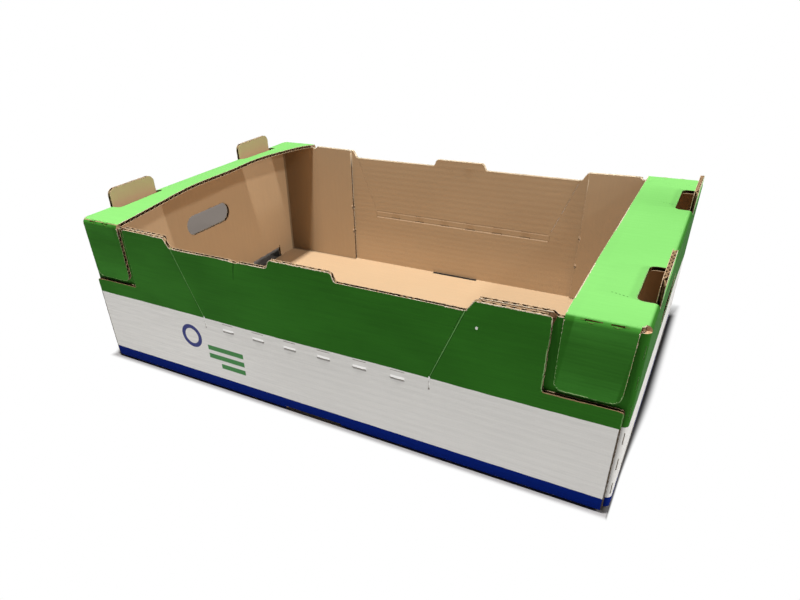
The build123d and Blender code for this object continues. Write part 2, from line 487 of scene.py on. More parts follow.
@dataclass(frozen=True)
class PrintedLiner(BoardFinish):
    """White outer liner with its bands of ink and a plain mark of a ring and bars.

    Places and heights are in millimetres. What lies at both sides is given for the right one.

    Args:
        pitch: length of one wave of the flutes.
        paper: unprinted white paper.
        green: ink on the long walls and the end walls.
        pale_green: the same ink towards the left, and on the shelf flaps.
        flap_green: the same ink at the top and the foot of the shelf flaps.
        lit_shelf_green: the same ink on top of the shelves, painted lighter as lit from above.
        blue: ink of the lowest band.
        kraft: bare board underneath.
        blue_top: height of the blue band.
        green_low: height where the green begins.
        shelf_low: height where the green of the shelves begins.
        flap_span: sides of a shelf flap, along X.
        flap_foot: height of its foot.
        liner_shade_from: where the painted shade in the crevice at the ends of the long walls begins, along
            X.
        liner_crevice_shade: colour of that painted shade.
        rim: height of the long walls' low stretches, over the panel.
        knee: where the panel's slanting cuts start, along X and Z.
        slant: how far they lean out for each millimetre of height.
        cut_shadow: painted shadow on one side of these cuts.
        cut_lip_highlight: painted highlight on the lip at their other side.
        hinge_pitch: distance between the slits of the panel's hinge.
        lips: (low, high, softness, strength, colour) of the painted highlight on the bulged board above the
            hinge's lower slits and the painted shadows at both rows of slits.
        spots: (height, radius, colour) of the torn spots at the knee.
        chip: middle of the chip in the front wall, along X and Z.
        chip_paper: its colour.
        dent: top of the crease at the front wall's dent, along X and Z.
        dent_shade: painted shade in that crease.
        shelf_cuts: (start, end, y at the start) of the cuts on the right shelf.
        shelf_cut_ink: their colour.
        ring: the mark's ring: middle along X and Z, radius and width.
        ring_ink: its colour.
        bars: (low, left, right) of the mark's bars.
        bar_high: height of a bar.
        bar_ink: its colour.
        relief_deep: depth of the flutes that show through, in metres.
    """

    pitch: float = 7.8
    paper: Colour = (0.70, 0.68, 0.65)
    green: Colour = (0.0265, 0.136, 0.0125)
    pale_green: Colour = (0.038, 0.172, 0.020)
    flap_green: Colour = (0.052, 0.235, 0.030)
    lit_shelf_green: Colour = (0.177, 0.474, 0.120)
    blue: Colour = (0.0008, 0.0115, 0.146)
    kraft: Colour = (0.50, 0.34, 0.20)
    blue_top: float = 15.3
    green_low: float = 90.3
    shelf_low: float = 177.2
    flap_span: tuple[float, float] = (241.0, 287.0)
    flap_foot: float = 111.0
    liner_shade_from: float = 294.1
    liner_crevice_shade: Colour = (0.05, 0.04, 0.03)
    rim: float = 164.8
    knee: tuple[float, float] = (132.9, 90.5)
    slant: float = 0.4094
    cut_shadow: Colour = (0.003, 0.02, 0.002)
    cut_lip_highlight: Colour = (0.14, 0.33, 0.10)
    hinge_pitch: float = 40.4
    lips: tuple[tuple[float, float, float, float, Colour], ...] = (
        (80.5, 83.2, 0.8, 1.0, (0.92, 0.90, 0.88)),
        (78.4, 79.9, 0.9, 0.6, (0.20, 0.19, 0.18)),
        (88.0, 89.0, 0.7, 0.45, (0.16, 0.15, 0.14)),
    )
    spots: tuple[tuple[float, float, Colour], ...] = (
        (91.0, 1.0, (0.8, 0.8, 0.78)),
        (84.5, 1.1, (0.85, 0.83, 0.8)),
        (79.0, 0.9, (0.1, 0.09, 0.08)),
    )
    chip: tuple[float, float] = (173.6, 151.2)
    chip_paper: Colour = (0.66, 0.66, 0.62)
    dent: tuple[float, float] = (-77.8, 164.5)
    dent_shade: Colour = (0.004, 0.03, 0.003)
    shelf_cuts: tuple[tuple[float, float, float], ...] = ((262.0, 277.0, -144.6), (266.5, 283.0, 99.5))
    shelf_cut_ink: Colour = (0.03, 0.10, 0.02)
    ring: tuple[float, float, float, float] = (158.0, 62.0, 14.5, 5.0)
    ring_ink: Colour = (0.002, 0.012, 0.16)
    bars: tuple[tuple[float, float, float], ...] = (
        (50.0, 86.0, 136.0),
        (39.5, 86.0, 136.0),
        (29.0, 86.0, 120.0),
    )
    bar_high: float = 6.0
    bar_ink: Colour = (0.02, 0.19, 0.03)
    relief_deep: float = 0.00012

    def colour(self, kit: NodeKit, flat: Flat, place: Place) -> Any:
        """Bands by height: bare underneath, then blue, white and green.

        Args:
            kit: adds the nodes.
            flat: place in the flat sheet, in metres.
            place: place in the frame, in metres.

        Returns:
            The colour.
        """
        x, y, z = in_mm(place)
        wander = kit.mottle(kit.vector(x * 0.05, y * 0.05, 0.0), 1.0) * 0.8 - 0.4
        height = z + wander
        worn = fibres(kit, flat, 22, 620).ramp(0.25, 0.8)
        grain = fibres(kit, flat, 900, 900, 2.0, 0.7)
        left = (-1 * x).ramp(-60.0, 200.0)
        bright = kit.mix(left, self.paper, toned(self.paper, 1.13))
        paper = kit.mix(worn * 0.4 + grain * 0.2, bright, toned(self.paper, 0.80))
        blue = kit.mix(worn * 0.5, self.blue, toned(self.blue, 0.7))
        wall_green = self.wall_green(kit, (x, y, z), left, worn)
        # The tops of the shelves take a lighter copy of the green: painted light from above.
        lit_top_green = self.lit_top_green(kit, x, left, worn)
        green = kit.mix(z.ramp(self.shelf_low, self.shelf_low + 1.5), wall_green, lit_top_green)
        ink = kit.mix(height > self.green_low, paper, green)
        ink = kit.mix(height < self.blue_top, ink, blue)
        ink = self.mark(kit, ink, (x, y, z), grain)
        ink = self.wear(kit, ink, (x, y, z), grain)
        # Painted shade in the crevice at the ends of the long walls, below the green.
        edge = (abs(flat[0] / MM) > self.liner_shade_from) * (abs(y) > WALL_Y) * (z < self.green_low)
        ink = kit.mix(edge * 0.85, ink, self.liner_crevice_shade)
        return kit.mix(z < 0.25, ink, self.kraft)

    def wall_green(self, kit: NodeKit, place: Place, left: Term, worn: Term) -> Term:
        """The green of the walls, paler on the left and on the shelf flaps.

        Args:
            kit: adds the nodes.
            place: place in the frame, in millimetres.
            left: how far to the left it is, 0 to 1.
            worn: streaks of wear, 0 to 1.

        Returns:
            The colour.
        """
        x, y, z = place
        cloud = kit.mottle(kit.vector(x * 0.011, y * 0.011, z * 0.02), 1.0).ramp(0.3, 0.75)
        lean = abs(x) - 0.1 * (z - (self.flap_foot + 1.0))
        flap = lean.within(*self.flap_span, 2.0) * (z > self.flap_foot)
        base = kit.mix((left * 0.8).most(flap * 0.85), self.green, self.pale_green)
        off_middle = abs(z - 146.0).ramp(8.0, 28.0)
        base = kit.mix(flap * off_middle * 0.6, base, self.flap_green)
        return kit.mix(worn * 0.3 + cloud * 0.4, base, toned(self.green, 0.62))

    def lit_top_green(self, kit: NodeKit, x: Term, left: Term, worn: Term) -> Term:
        """The green on top of the shelves, painted lighter as lit from above, and a little brighter on the
        left one.

        Args:
            kit: adds the nodes.
            x: place along the tray, in millimetres.
            left: how far to the left it is, 0 to 1.
            worn: streaks of wear, 0 to 1.

        Returns:
            The colour.
        """
        bright = kit.mix(left * (x < -200.0), self.lit_shelf_green, toned(self.lit_shelf_green, 1.08))
        return kit.mix(worn * 0.4, bright, toned(self.lit_shelf_green, 0.86))

    def wear(self, kit: NodeKit, ink: Any, place: Place, grain: Term) -> Term:
        """Painted shadows and highlights at the panel's cuts and hinge, torn spots at the knee, a chip,
        painted shade in a dent's crease in the front, and cuts on the right shelf.

        Args:
            kit: adds the nodes.
            ink: the colour underneath.
            place: place in the frame, in millimetres.
            grain: fine noise, 0 to 1.

        Returns:
            The colour.
        """
        x, y, z = place
        front = y < -WALL_Y
        walls = abs(y) > WALL_Y
        knee_x, knee_z = self.knee
        chip = apart(x - self.chip[0], (z - self.chip[1]) * 0.7) + grain * 1.2
        ink = kit.mix((chip < 1.7) * front, ink, self.chip_paper)
        # Painted shadow on one side of each slanting cut, and a painted highlight on the lip at the other.
        off = (abs(x) - knee_x - (z - knee_z) * self.slant) * 0.925
        cut = (z > self.green_low) * (z < self.rim) * walls
        ink = kit.mix(off.within(0.1, 0.65, 0.2) * cut * 0.75, ink, self.cut_shadow)
        ink = kit.mix(off.within(-0.75, 0.0, 0.25) * cut * 0.8, ink, self.cut_lip_highlight)
        # Painted highlight above the lower slits and painted shadows at both rows of slits.
        pace = (abs(x) / self.hinge_pitch).fraction() * self.hinge_pitch - self.hinge_pitch / 2
        slit = abs(pace).ramp(7.9, 6.6) * (abs(x) < 121.0) * walls
        for low, high, soft, strength, tone in self.lips:
            ink = kit.mix(slit * z.within(low, high, soft) * strength, ink, tone)
        for height, radius, tone in self.spots:
            spot = apart(abs(x) - knee_x, (z - height) * 0.5) + grain * 0.5
            ink = kit.mix((spot < radius) * walls, ink, tone)
        dent_x, dent_z = self.dent
        # Painted shade in the crease below the front wall's dent.
        crease = abs(x - dent_x - (z - dent_z) * 0.16) + (dent_z - 0.5 - z) * 0.03
        ink = kit.mix((1 - crease.ramp(0.3, 1.3)) * (z > 145.0) * front * 0.75, ink, self.dent_shade)
        top = (z > SHELF_Z) * (x > 240.0)
        for start, end, turn in self.shelf_cuts:
            line = abs(y - turn + (x - start) * 0.3) + grain * 0.5
            dashes = ((x + grain * 1.5) * 2.1).sine() > 0.1
            nicks = (line < 0.75) * x.within(start, end, 0.3) * dashes * top
            ink = kit.mix(nicks * 0.8, ink, self.shelf_cut_ink)
        return ink

    def mark(self, kit: NodeKit, ink: Any, place: Place, grain: Term) -> Term:
        """Plain ring and bars on the front and the back, in the two inks.

        Args:
            kit: adds the nodes.
            ink: the colour underneath.
            place: place in the frame, in millimetres.
            grain: fine noise, 0 to 1.

        Returns:
            The colour.
        """
        x, y, z = place
        walls = abs(y) > WALL_Y
        run = x * kit.value("ShaderNodeMath", {"operation": "SIGN"}, {0: y})
        ring_x, ring_z, radius, width = self.ring
        solid = 1 - grain * 0.15
        ring = apart(run - ring_x, z - ring_z).within(radius - width, radius, 0.5) * walls
        ink = kit.mix(ring * solid, ink, self.ring_ink)
        for low, left, right in self.bars:
            bar = z.within(low, low + self.bar_high, 0.5) * run.within(left, right, 0.5) * walls
            ink = kit.mix(bar * solid, ink, self.bar_ink)
        return ink

    def relief(self, kit: NodeKit, flat: Flat) -> tuple[Any, float]:
        """Flutes that show through."""
        return washboard(kit, flat, self.pitch), self.relief_deep


@dataclass(frozen=True)
class KraftLiner(BoardFinish):
    """Unprinted inner liner: brown paper with fibres and faint streaks along the flutes.

    Args:
        pitch: length of one wave of the flutes, in millimetres.
        light: the paper's pale tone.
        dark: its dark tone.
        torn: paper under the surface, where it is torn; along the hinge it is also a painted highlight.
        hinge: (height, strength of the pale highlight) of the creases at the panel's hinge.
        hinge_reach: half the length of these lines.
        nicks: heights of the nicks at the ends of the corner flaps.
        flap_end: where the corner flaps end, along X.
        relief_deep: depth of the flutes that show through, in metres.
    """

    pitch: float = 7.8
    light: Colour = (0.535, 0.378, 0.228)
    dark: Colour = (0.455, 0.312, 0.185)
    torn: Colour = (0.78, 0.62, 0.45)
    hinge: tuple[tuple[float, float], ...] = ((80.2, 0.85), (88.5, 0.45))
    hinge_reach: float = 132.0
    nicks: tuple[float, ...] = (51.0, 89.5)
    flap_end: float = 172.0
    relief_deep: float = 0.00010

    def colour(self, kit: NodeKit, flat: Flat, place: Place) -> Any:
        """Brown with streaks, fibres and clouds.

        Args:
            kit: adds the nodes.
            flat: place in the flat sheet, in metres.
            place: place in the frame, in metres.

        Returns:
            The colour.
        """
        streak = fibres(kit, flat, 14, 330)
        fleck = fibres(kit, flat, 520, 900, 2.0)
        cloud = kit.mottle(kit.vector(*(part * 9 for part in place)), 1.0)
        share = streak * 0.45 + cloud * 0.55 + fleck.ramp(0.62, 0.75) * 0.35 - 0.18
        paper = kit.mix(share, self.light, self.dark)
        spot = in_mm(place)
        return self.creases(kit, self.corners(kit, paper, spot), spot, fleck)

    def corners(self, kit: NodeKit, under: Any, place: Place) -> Any:
        """Painted shade: darker paper on the long walls above the floor, and more so on the corner flaps
        towards the ends.

        Args:
            kit: adds the nodes.
            under: the colour underneath.
            place: place in the frame, in millimetres.

        Returns:
            The colour.
        """
        x, y, z = place
        # Painted shade on the inner faces of the long walls, deeper towards the ends of the corner flaps.
        walls = (abs(y) > WALL_Y - 1.0) * z.ramp(20.0, 70.0)
        flaps = (abs(y) > FLAP_Y) * (abs(x) > self.flap_end) * (z < 174.2)
        painted_shade = (walls * 0.16).most(flaps * (abs(x).ramp(225.0, 285.0) * 0.5 + 0.16))
        return kit.mix(painted_shade, under, toned(self.dark, 0.25))

    def creases(self, kit: NodeKit, under: Any, place: Place, fleck: Term) -> Term:
        """The bent lines of the panel's hinge, with painted shade in each crease and a pale torn line below
        it painted as a highlight, and the nicks of the flaps, pale with a dark spot below.

        Args:
            kit: adds the nodes.
            under: the colour underneath.
            place: place in the frame, in millimetres.
            fleck: fine noise, 0 to 1.

        Returns:
            The colour.
        """
        x, y, z = place
        inside = (abs(y) > WALL_Y) * (abs(x) < self.hinge_reach)
        for where, strength in self.hinge:
            # Painted shade along each crease, and below it torn paper painted as a pale highlight.
            dark = (z - where).within(-0.1, 1.3, 0.8)
            pale = (z - where).within(-1.7, -0.2, 0.7) * fleck.ramp(0.3, 0.5)
            under = kit.mix(dark * inside * 0.45, under, toned(self.dark, 0.45))
            under = kit.mix(pale * inside * strength, under, self.torn)
        off = abs(x) - (self.flap_end + 1.2)
        flap = abs(y) > FLAP_Y
        for where in self.nicks:
            pale = apart(off, z - where - 2.6) < 1.9
            dark = apart(off, z - where + 0.6) < 1.8
            under = kit.mix(pale * flap * 0.7, under, self.torn)
            under = kit.mix(dark * flap * 0.8, under, toned(self.dark, 0.2))
        return under

    def relief(self, kit: NodeKit, flat: Flat) -> tuple[Any, float]:
        """Flutes that show through."""
        return washboard(kit, flat, self.pitch), self.relief_deep


@dataclass(frozen=True)
class RawPaper(BoardFinish):
    """Cut paper: the core, the medium or a liner's rim.

    Args:
        light: pale tone of its grain.
        dark: dark tone of its grain.
        grain: how fine the grain is, per metre.
        pale: painted highlight on the top edges of the back wall, where the light falls on them.
        end: painted shade in the crevices at the ends of the long walls.
        edge_shade_top: height of that painted shade.
        edge_shade_from: where it begins, along X.
    """

    light: Colour = (0.5, 0.34, 0.2)
    dark: Colour = (0.3, 0.19, 0.1)
    grain: float = 500.0
    pale: Colour = (0.80, 0.68, 0.50)
    end: Colour = (0.045, 0.028, 0.018)
    edge_shade_top: float = 108.0
    edge_shade_from: float = 294.0

    def colour(self, kit: NodeKit, flat: Flat, place: Place) -> Any:
        """Two tones in fine grains, with a painted highlight on top of the back wall and painted shade at
        the ends of the long walls.

        Args:
            kit: adds the nodes.
            flat: place in the flat sheet, in metres.
            place: place in the frame, in metres.

        Returns:
            The colour.
        """
        speck = kit.mottle(kit.vector(*(part * self.grain for part in place)), 1.0, 3.0, 0.7)
        x, y, z = in_mm(place)
        # Painted highlight on the back wall's top edges, and painted shade at the ends of the long walls.
        far = (y > FLAP_Y) * z.ramp(148.0, 165.0)
        edge_shaded = (z < self.edge_shade_top) * (abs(x) > self.edge_shade_from) * (abs(y) > WALL_Y)
        grained = kit.mix(speck.ramp(0.3, 0.7), self.light, self.dark)
        return kit.mix(edge_shaded * 0.9, kit.mix(far * 0.85, grained, self.pale), self.end)


@dataclass(frozen=True)
class RimPaper(RawPaper):
    """Rim of the printed liner: torn paper, with the ink drawn over it at the sides of the green print.

    Args:
        ink: green drawn over the sides of the cuts.
        bare: paper at the ledge under a shelf flap.
        top_ink: green drawn into the openings of the shelves.
        inked: heights between which the cuts' sides are green.
        ledge: heights of the ledge.
        opening: sides of the shelves' openings, along X.
    """

    ink: Colour = (0.11, 0.29, 0.075)
    bare: Colour = (0.22, 0.14, 0.075)
    top_ink: Colour = (0.12, 0.34, 0.08)
    inked: tuple[float, float] = (92.0, 163.0)
    ledge: tuple[float, float] = (105.2, 107.6)
    opening: tuple[float, float] = (279.0, 296.4)

    def colour(self, kit: NodeKit, flat: Flat, place: Place) -> Any:
        """Green between the white band and the top edges, and at the openings of the shelves.

        Args:
            kit: adds the nodes.
            flat: place in the flat sheet, in metres.
            place: place in the frame, in metres.

        Returns:
            The colour.
        """
        under = super().colour(kit, flat, place)
        x, y, z = in_mm(place)
        inked = z.within(*self.inked, 2.0) * (abs(y) > LINER_Y)
        ledge = z.within(*self.ledge, 0.4) * (abs(x) > 232.0) * (abs(y) > WALL_Y)
        opening = (z > 174.0) * abs(x).within(*self.opening, 0.6) * (abs(y) < 160.0)
        under = kit.mix(inked * 0.75, under, self.ink)
        under = kit.mix(ledge, under, self.bare)
        return kit.mix(opening * 0.8, under, self.top_ink)


@dataclass(frozen=True)
class SlitLips(BoardFinish):
    """Lips of the thin cuts: torn paper with the ink of the print at its edge.

    Args:
        paper: lips in the white band.
        green: lips in the green print.
        raw: specks of bare board in them.
        bent: lips of the slits in the folds of the shelf flaps.
        inner: lips inside the tray.
        inner_reach: half the length along X in which the inner lips are.
        green_low: height where the green begins.
        shelf_low: height above which the slits are in the shelf flaps' folds.
    """

    paper: Colour = (0.50, 0.45, 0.38)
    green: Colour = (0.20, 0.45, 0.15)
    raw: Colour = (0.20, 0.12, 0.065)
    bent: Colour = (0.52, 0.33, 0.19)
    inner: Colour = (0.50, 0.35, 0.22)
    inner_reach: float = 170.0
    green_low: float = 90.3
    shelf_low: float = 172.0

    def colour(self, kit: NodeKit, flat: Flat, place: Place) -> Any:
        """White paper in the white band, green above it, bare board inside and at the corner notches.

        Args:
            kit: adds the nodes.
            flat: place in the flat sheet, in metres.
            place: place in the frame, in metres.

        Returns:
            The colour.
        """
        x, y, z = in_mm(place)
        speck = kit.mottle(kit.vector(x * 0.5, y * 0.5, z * 0.5), 1.0, 3.0, 0.7).ramp(0.35, 0.7)
        lip = kit.mix(z > self.green_low, self.paper, self.green)
        bare = kit.mix(speck * 0.7, self.raw, toned(self.raw, 0.4))
        lip = kit.mix(speck * 0.6, lip, bare)
        within = (abs(y) < LINER_Y + 0.1) * (abs(x) < self.inner_reach)
        lip = kit.mix(within, lip, self.inner)
        bent = kit.mix(speck * 0.7, self.bent, toned(self.bent, 0.3))
        return kit.mix(z > self.shelf_low, lip, bent)


@dataclass(frozen=True)
class CutEdges:
    """Cut edges of one layer of board, between the two planes of its liners.

    Args:
        through: axis through the thickness.
        low: lower plane.
        high: upper plane.
        across: axis across the flutes.
        takes: whether a cut face with this middle belongs here.
        outer_high: whether the printed liner is at the upper plane.
    """

    through: Axis
    low: float
    high: float
    across: Axis
    takes: Callable[[Vector], bool]
    outer_high: bool = True

    @property
    def facing(self) -> int:
        """1 where the printed liner is at the upper plane, otherwise -1."""
        return 1 if self.outer_high else -1

    def holds(self, face: bmesh.types.BMFace) -> bool:
        """Looks whether a face lies between the planes and stands square to them.

        Args:
            face: the face.

        Returns:
            Whether it does, and belongs to this layer.
        """
        slack, skew = 0.02, 0.05
        if abs(face.normal[self.through]) > skew:
            return False
        reach = [vert.co[self.through] for vert in face.verts]
        if min(reach) < self.low - slack or max(reach) > self.high + slack:
            return False
        return self.takes(face.calc_center_median())


@dataclass
class CutLine:
    """Lines along the cut edges that the medium hangs on, with what it needs at each point.

    Args:
        points: the points, in millimetres.
        inward: the way into the board.
        through: the way through its thickness, from the printed liner.
        across: the way across the flutes.
        edges: pairs of points that a line joins.
    """

    points: list[Vector] = field(default_factory=list)
    inward: list[Vector] = field(default_factory=list)
    through: list[Vector] = field(default_factory=list)
    across: list[Vector] = field(default_factory=list)
    edges: list[tuple[int, int]] = field(default_factory=list)

    def mesh(self, name: str) -> bpy.types.Object:
        """Makes an object of loose edges with vector attributes, in metres.

        Args:
            name: its name.

        Returns:
            The object.
        """
        made = bpy.data.meshes.new(name)
        made.from_pydata([p * MM for p in self.points], self.edges, [])
        for key in ("inward", "through", "across"):
            stored = made.attributes.new(key, "FLOAT_VECTOR", "POINT")
            flat = [part for vector in getattr(self, key) for part in vector]
            stored.data.foreach_set("vector", flat)
        return placed(name, made)


@dataclass
class BowedShelf:
    """Rise of the left shelf, which is taken out while the board is worked on.

    Args:
        sizes: the tray's sizes.
        rises: (y, rise) of the free edge, in order of y.
    """

    sizes: TraySizes
    rises: list[tuple[float, float]] = field(default_factory=list)

    def measure(self, bm: bmesh.types.BMesh) -> None:
        """Reads the rise of the free edge from the mesh.

        Args:
            bm: the board.
        """
        size = self.sizes
        found = {}
        for vert in bm.verts:
            if abs(vert.co.x + size.shelf_x) < NEAR and abs(vert.co.y) <= size.fold_y + NEAR:
                if vert.co.z > size.shelf_top - size.board - NEAR:
                    key = round(vert.co.y, 1)
                    found[key] = max(found.get(key, 0.0), vert.co.z - size.shelf_top)
        for y in [y for y in found if abs(y) > size.fold_y - 0.2]:
            found[y] = 0.0
        self.rises = sorted(found.items())

    def rise(self, x: float, y: float) -> float:
        """Reads the rise of the shelf at a place.

        Args:
            x: place along the tray.
            y: place along the shelf.

        Returns:
            The rise.
        """
        size = self.sizes
        share = (x + size.fold_x) / (size.fold_x - size.shelf_x)
        share = min(max(share, 0.0), 1.0)
        if share == 0.0 or abs(y) >= size.fold_y:
            return 0.0
        for (y0, r0), (y1, r1) in zip(self.rises, self.rises[1:]):
            if y0 <= y <= y1:
                return share * (r0 + (r1 - r0) * (y - y0) / max(y1 - y0, 1e-6))
        return 0.0

    def covers(self, place: Vector) -> bool:
        """Looks whether a place is in the left shelf.

        Args:
            place: the place.

        Returns:
            Whether it is.
        """
        size = self.sizes
        inside = -size.fold_x - 0.02 <= place.x <= -size.shelf_x + 0.7
        return inside and place.z > size.shelf_top - size.board - 0.2

    def flatten(self, bm: bmesh.types.BMesh) -> None:
        """Takes the bow out, with both liners brought back to their planes.

        Args:
            bm: the board.
        """
        size, bulge = self.sizes, 0.6
        planes = (size.shelf_top, size.shelf_top - size.board)
        for vert in bm.verts:
            if not self.covers(vert.co):
                continue
            vert.co.z -= self.rise(vert.co.x, vert.co.y)
            for plane in planes:
                if abs(vert.co.z - plane) < bulge:
                    vert.co.z = plane

    def bend(self, place: Vector) -> Vector:
        """Bends the flat shelf.

        Args:
            place: a place of the flat shelf, or elsewhere on the board.

        Returns:
            Where it is once the shelf has bowed.
        """
        if not self.covers(place):
            return place
        return place + Vector((0.0, 0.0, self.rise(place.x, place.y)))


@dataclass(frozen=True)
class BoardWarp:
    """Slow, slight unevenness of real board, none at the floor.

    Args:
        reach: distance over which it changes, in millimetres.
        amount: largest move, in millimetres.
        settle: height over which it grows from nothing.
        level: share of the move that is up and down.
        start: place in the noise that it starts from.
        seed: seed of the noise.
    """

    reach: float = 150.0
    amount: float = 1.3
    settle: float = 60.0
    level: float = 0.4
    start: tuple[float, float, float] = (3.1, 7.7, 1.3)
    seed: int = 282

    def begin(self) -> None:
        """Fixes the noise, which would otherwise differ from run to run."""
        noise.seed_set(self.seed)

    def moved(self, place: Vector) -> Vector:
        """Moves a place of the board, less up and down than sideways.

        Args:
            place: the place.

        Returns:
            Where it goes.
        """
        share = min(max(place.z / self.settle, 0.0), 1.0)
        push = noise.noise_vector(place / self.reach + Vector(self.start))
        push.z *= self.level
        return place + push * (self.amount * share)


@dataclass(frozen=True)
class BoardWear:
    """How far the true board is hollowed, opened, dented and lifted, in millimetres.

    Args:
        core_depth: how deep the cut edges are hollowed between the liners.
        blunt: how far the hollow may be stretched at a corner, as the least share of its depth.
        slit_close: how far each side of the panel's cuts moves in.
        slit_open: how far the slits in the shelf flaps' folds open.
        tongue_out: how far the board stands out between the hinge's slits.
        tongue_half: half the length of each of these stretches.
        dent_x: middle of the dent in the front wall's low edge.
        dent_deep: depth of the dent.
        dent_wide: how far it reaches along the edge.
        dent_high: how far it reaches down.
        flap_rise: rise of a corner flap's top at its free end and at the recess, by the signs
            of X and Y.
        flap_fall: length over which the rise ends, at the recess.
        grid: distance between the cuts that let the board warp.
        grid_from: where the upright and the level cuts of the grid start.
        hinge_steps: where the board is cut round the middle of a stretch between the slits.
        slit_steps: where it is cut round the middle of a slit in a shelf flap's fold.
        dent_steps: where it is cut round the middle of the dent.
        flap_steps: where a corner flap's top is cut, from its free end.
        sharp: angle from which an edge is sharp, in degrees.
    """

    core_depth: float = 3.4
    blunt: float = 0.6
    slit_close: float = 0.33
    slit_open: float = 1.4
    tongue_out: float = 0.5
    tongue_half: float = 8.5
    dent_x: float = -78.0
    dent_deep: float = 1.8
    dent_wide: float = 4.5
    dent_high: float = 10.0
    flap_rise: tuple[tuple[tuple[int, int], tuple[float, float]], ...] = (
        ((1, -1), (2.2, 3.0)),
        ((-1, -1), (1.2, 1.8)),
        ((1, 1), (2.4, 3.2)),
        ((-1, 1), (2.2, 3.0)),
    )
    flap_fall: float = 3.4
    grid: float = 24.0
    grid_from: tuple[float, float] = (1.7, 1.3)
    hinge_steps: tuple[float, ...] = (-8.5, -6.0, -3.0, 0.0, 3.0, 6.0, 8.5)
    slit_steps: tuple[float, ...] = (-3.8, -2.2, 0.0, 2.2, 3.8)
    dent_steps: tuple[float, ...] = (-12.0, -8.0, -5.0, -2.5, 0.0, 2.5, 5.0, 8.0, 12.0)
    flap_steps: tuple[float, ...] = (-0.6, 8.0, 22.0, 36.0, 50.0, 58.5, 62.5)
    sharp: float = 25.0


def mirrored(sign: int, near: float, far: float) -> tuple[float, float]:
    """The stretch between two places on the side that the sign gives, low end first."""
    return tuple(sorted((sign * near, sign * far)))


def placed(name: str, data: bpy.types.ID) -> bpy.types.Object:
    """Adds an object to the scene.

    Args:
        name: its name.
        data: its mesh, lamp or camera.

    Returns:
        The object.
    """
    made = bpy.data.objects.new(name, data)
    bpy.context.scene.collection.objects.link(made)
    return made


def faces_near(bm: bmesh.types.BMesh, low: Vector, high: Vector) -> list[bmesh.types.BMFace]:
    """Finds the faces that reach into a box.

    Args:
        bm: the mesh.
        low: low corner of the box.
        high: its high corner.

    Returns:
        The faces.
    """
    found = []
    for face in bm.faces:
        places = list(zip(*(vert.co for vert in face.verts)))
        if all(max(places[i]) > low[i] and min(places[i]) < high[i] for i in range(3)):
            found.append(face)
    return found


def split(bm: bmesh.types.BMesh, faces: Iterable, axis: Axis, where: float) -> None:
    """Cuts faces along a plane across an axis.

    Args:
        bm: the mesh.
        faces: the faces to cut.
        axis: the axis.
        where: place of the plane on it.
    """
    verts = {vert for face in faces for vert in face.verts}
    edges = {edge for face in faces for edge in face.edges}
    normal, middle = Vector((0, 0, 0)), Vector((0, 0, 0))
    normal[axis], middle[axis] = 1.0, where
    bmesh.ops.bisect_plane(bm, geom=[*verts, *edges, *faces], plane_co=middle, plane_no=normal, dist=1e-4)


def split_box(bm: bmesh.types.BMesh, box: tuple[Vector, Vector], axis: Axis, places: Iterable) -> None:
    """Cuts the faces that reach into a box along planes across an axis.

    Args:
        bm: the mesh.
        box: low and high corner of the box.
        axis: the axis.
        places: places of the planes on it, in the order of the cuts.
    """
    for where in places:
        split(bm, faces_near(bm, *box), axis, where)


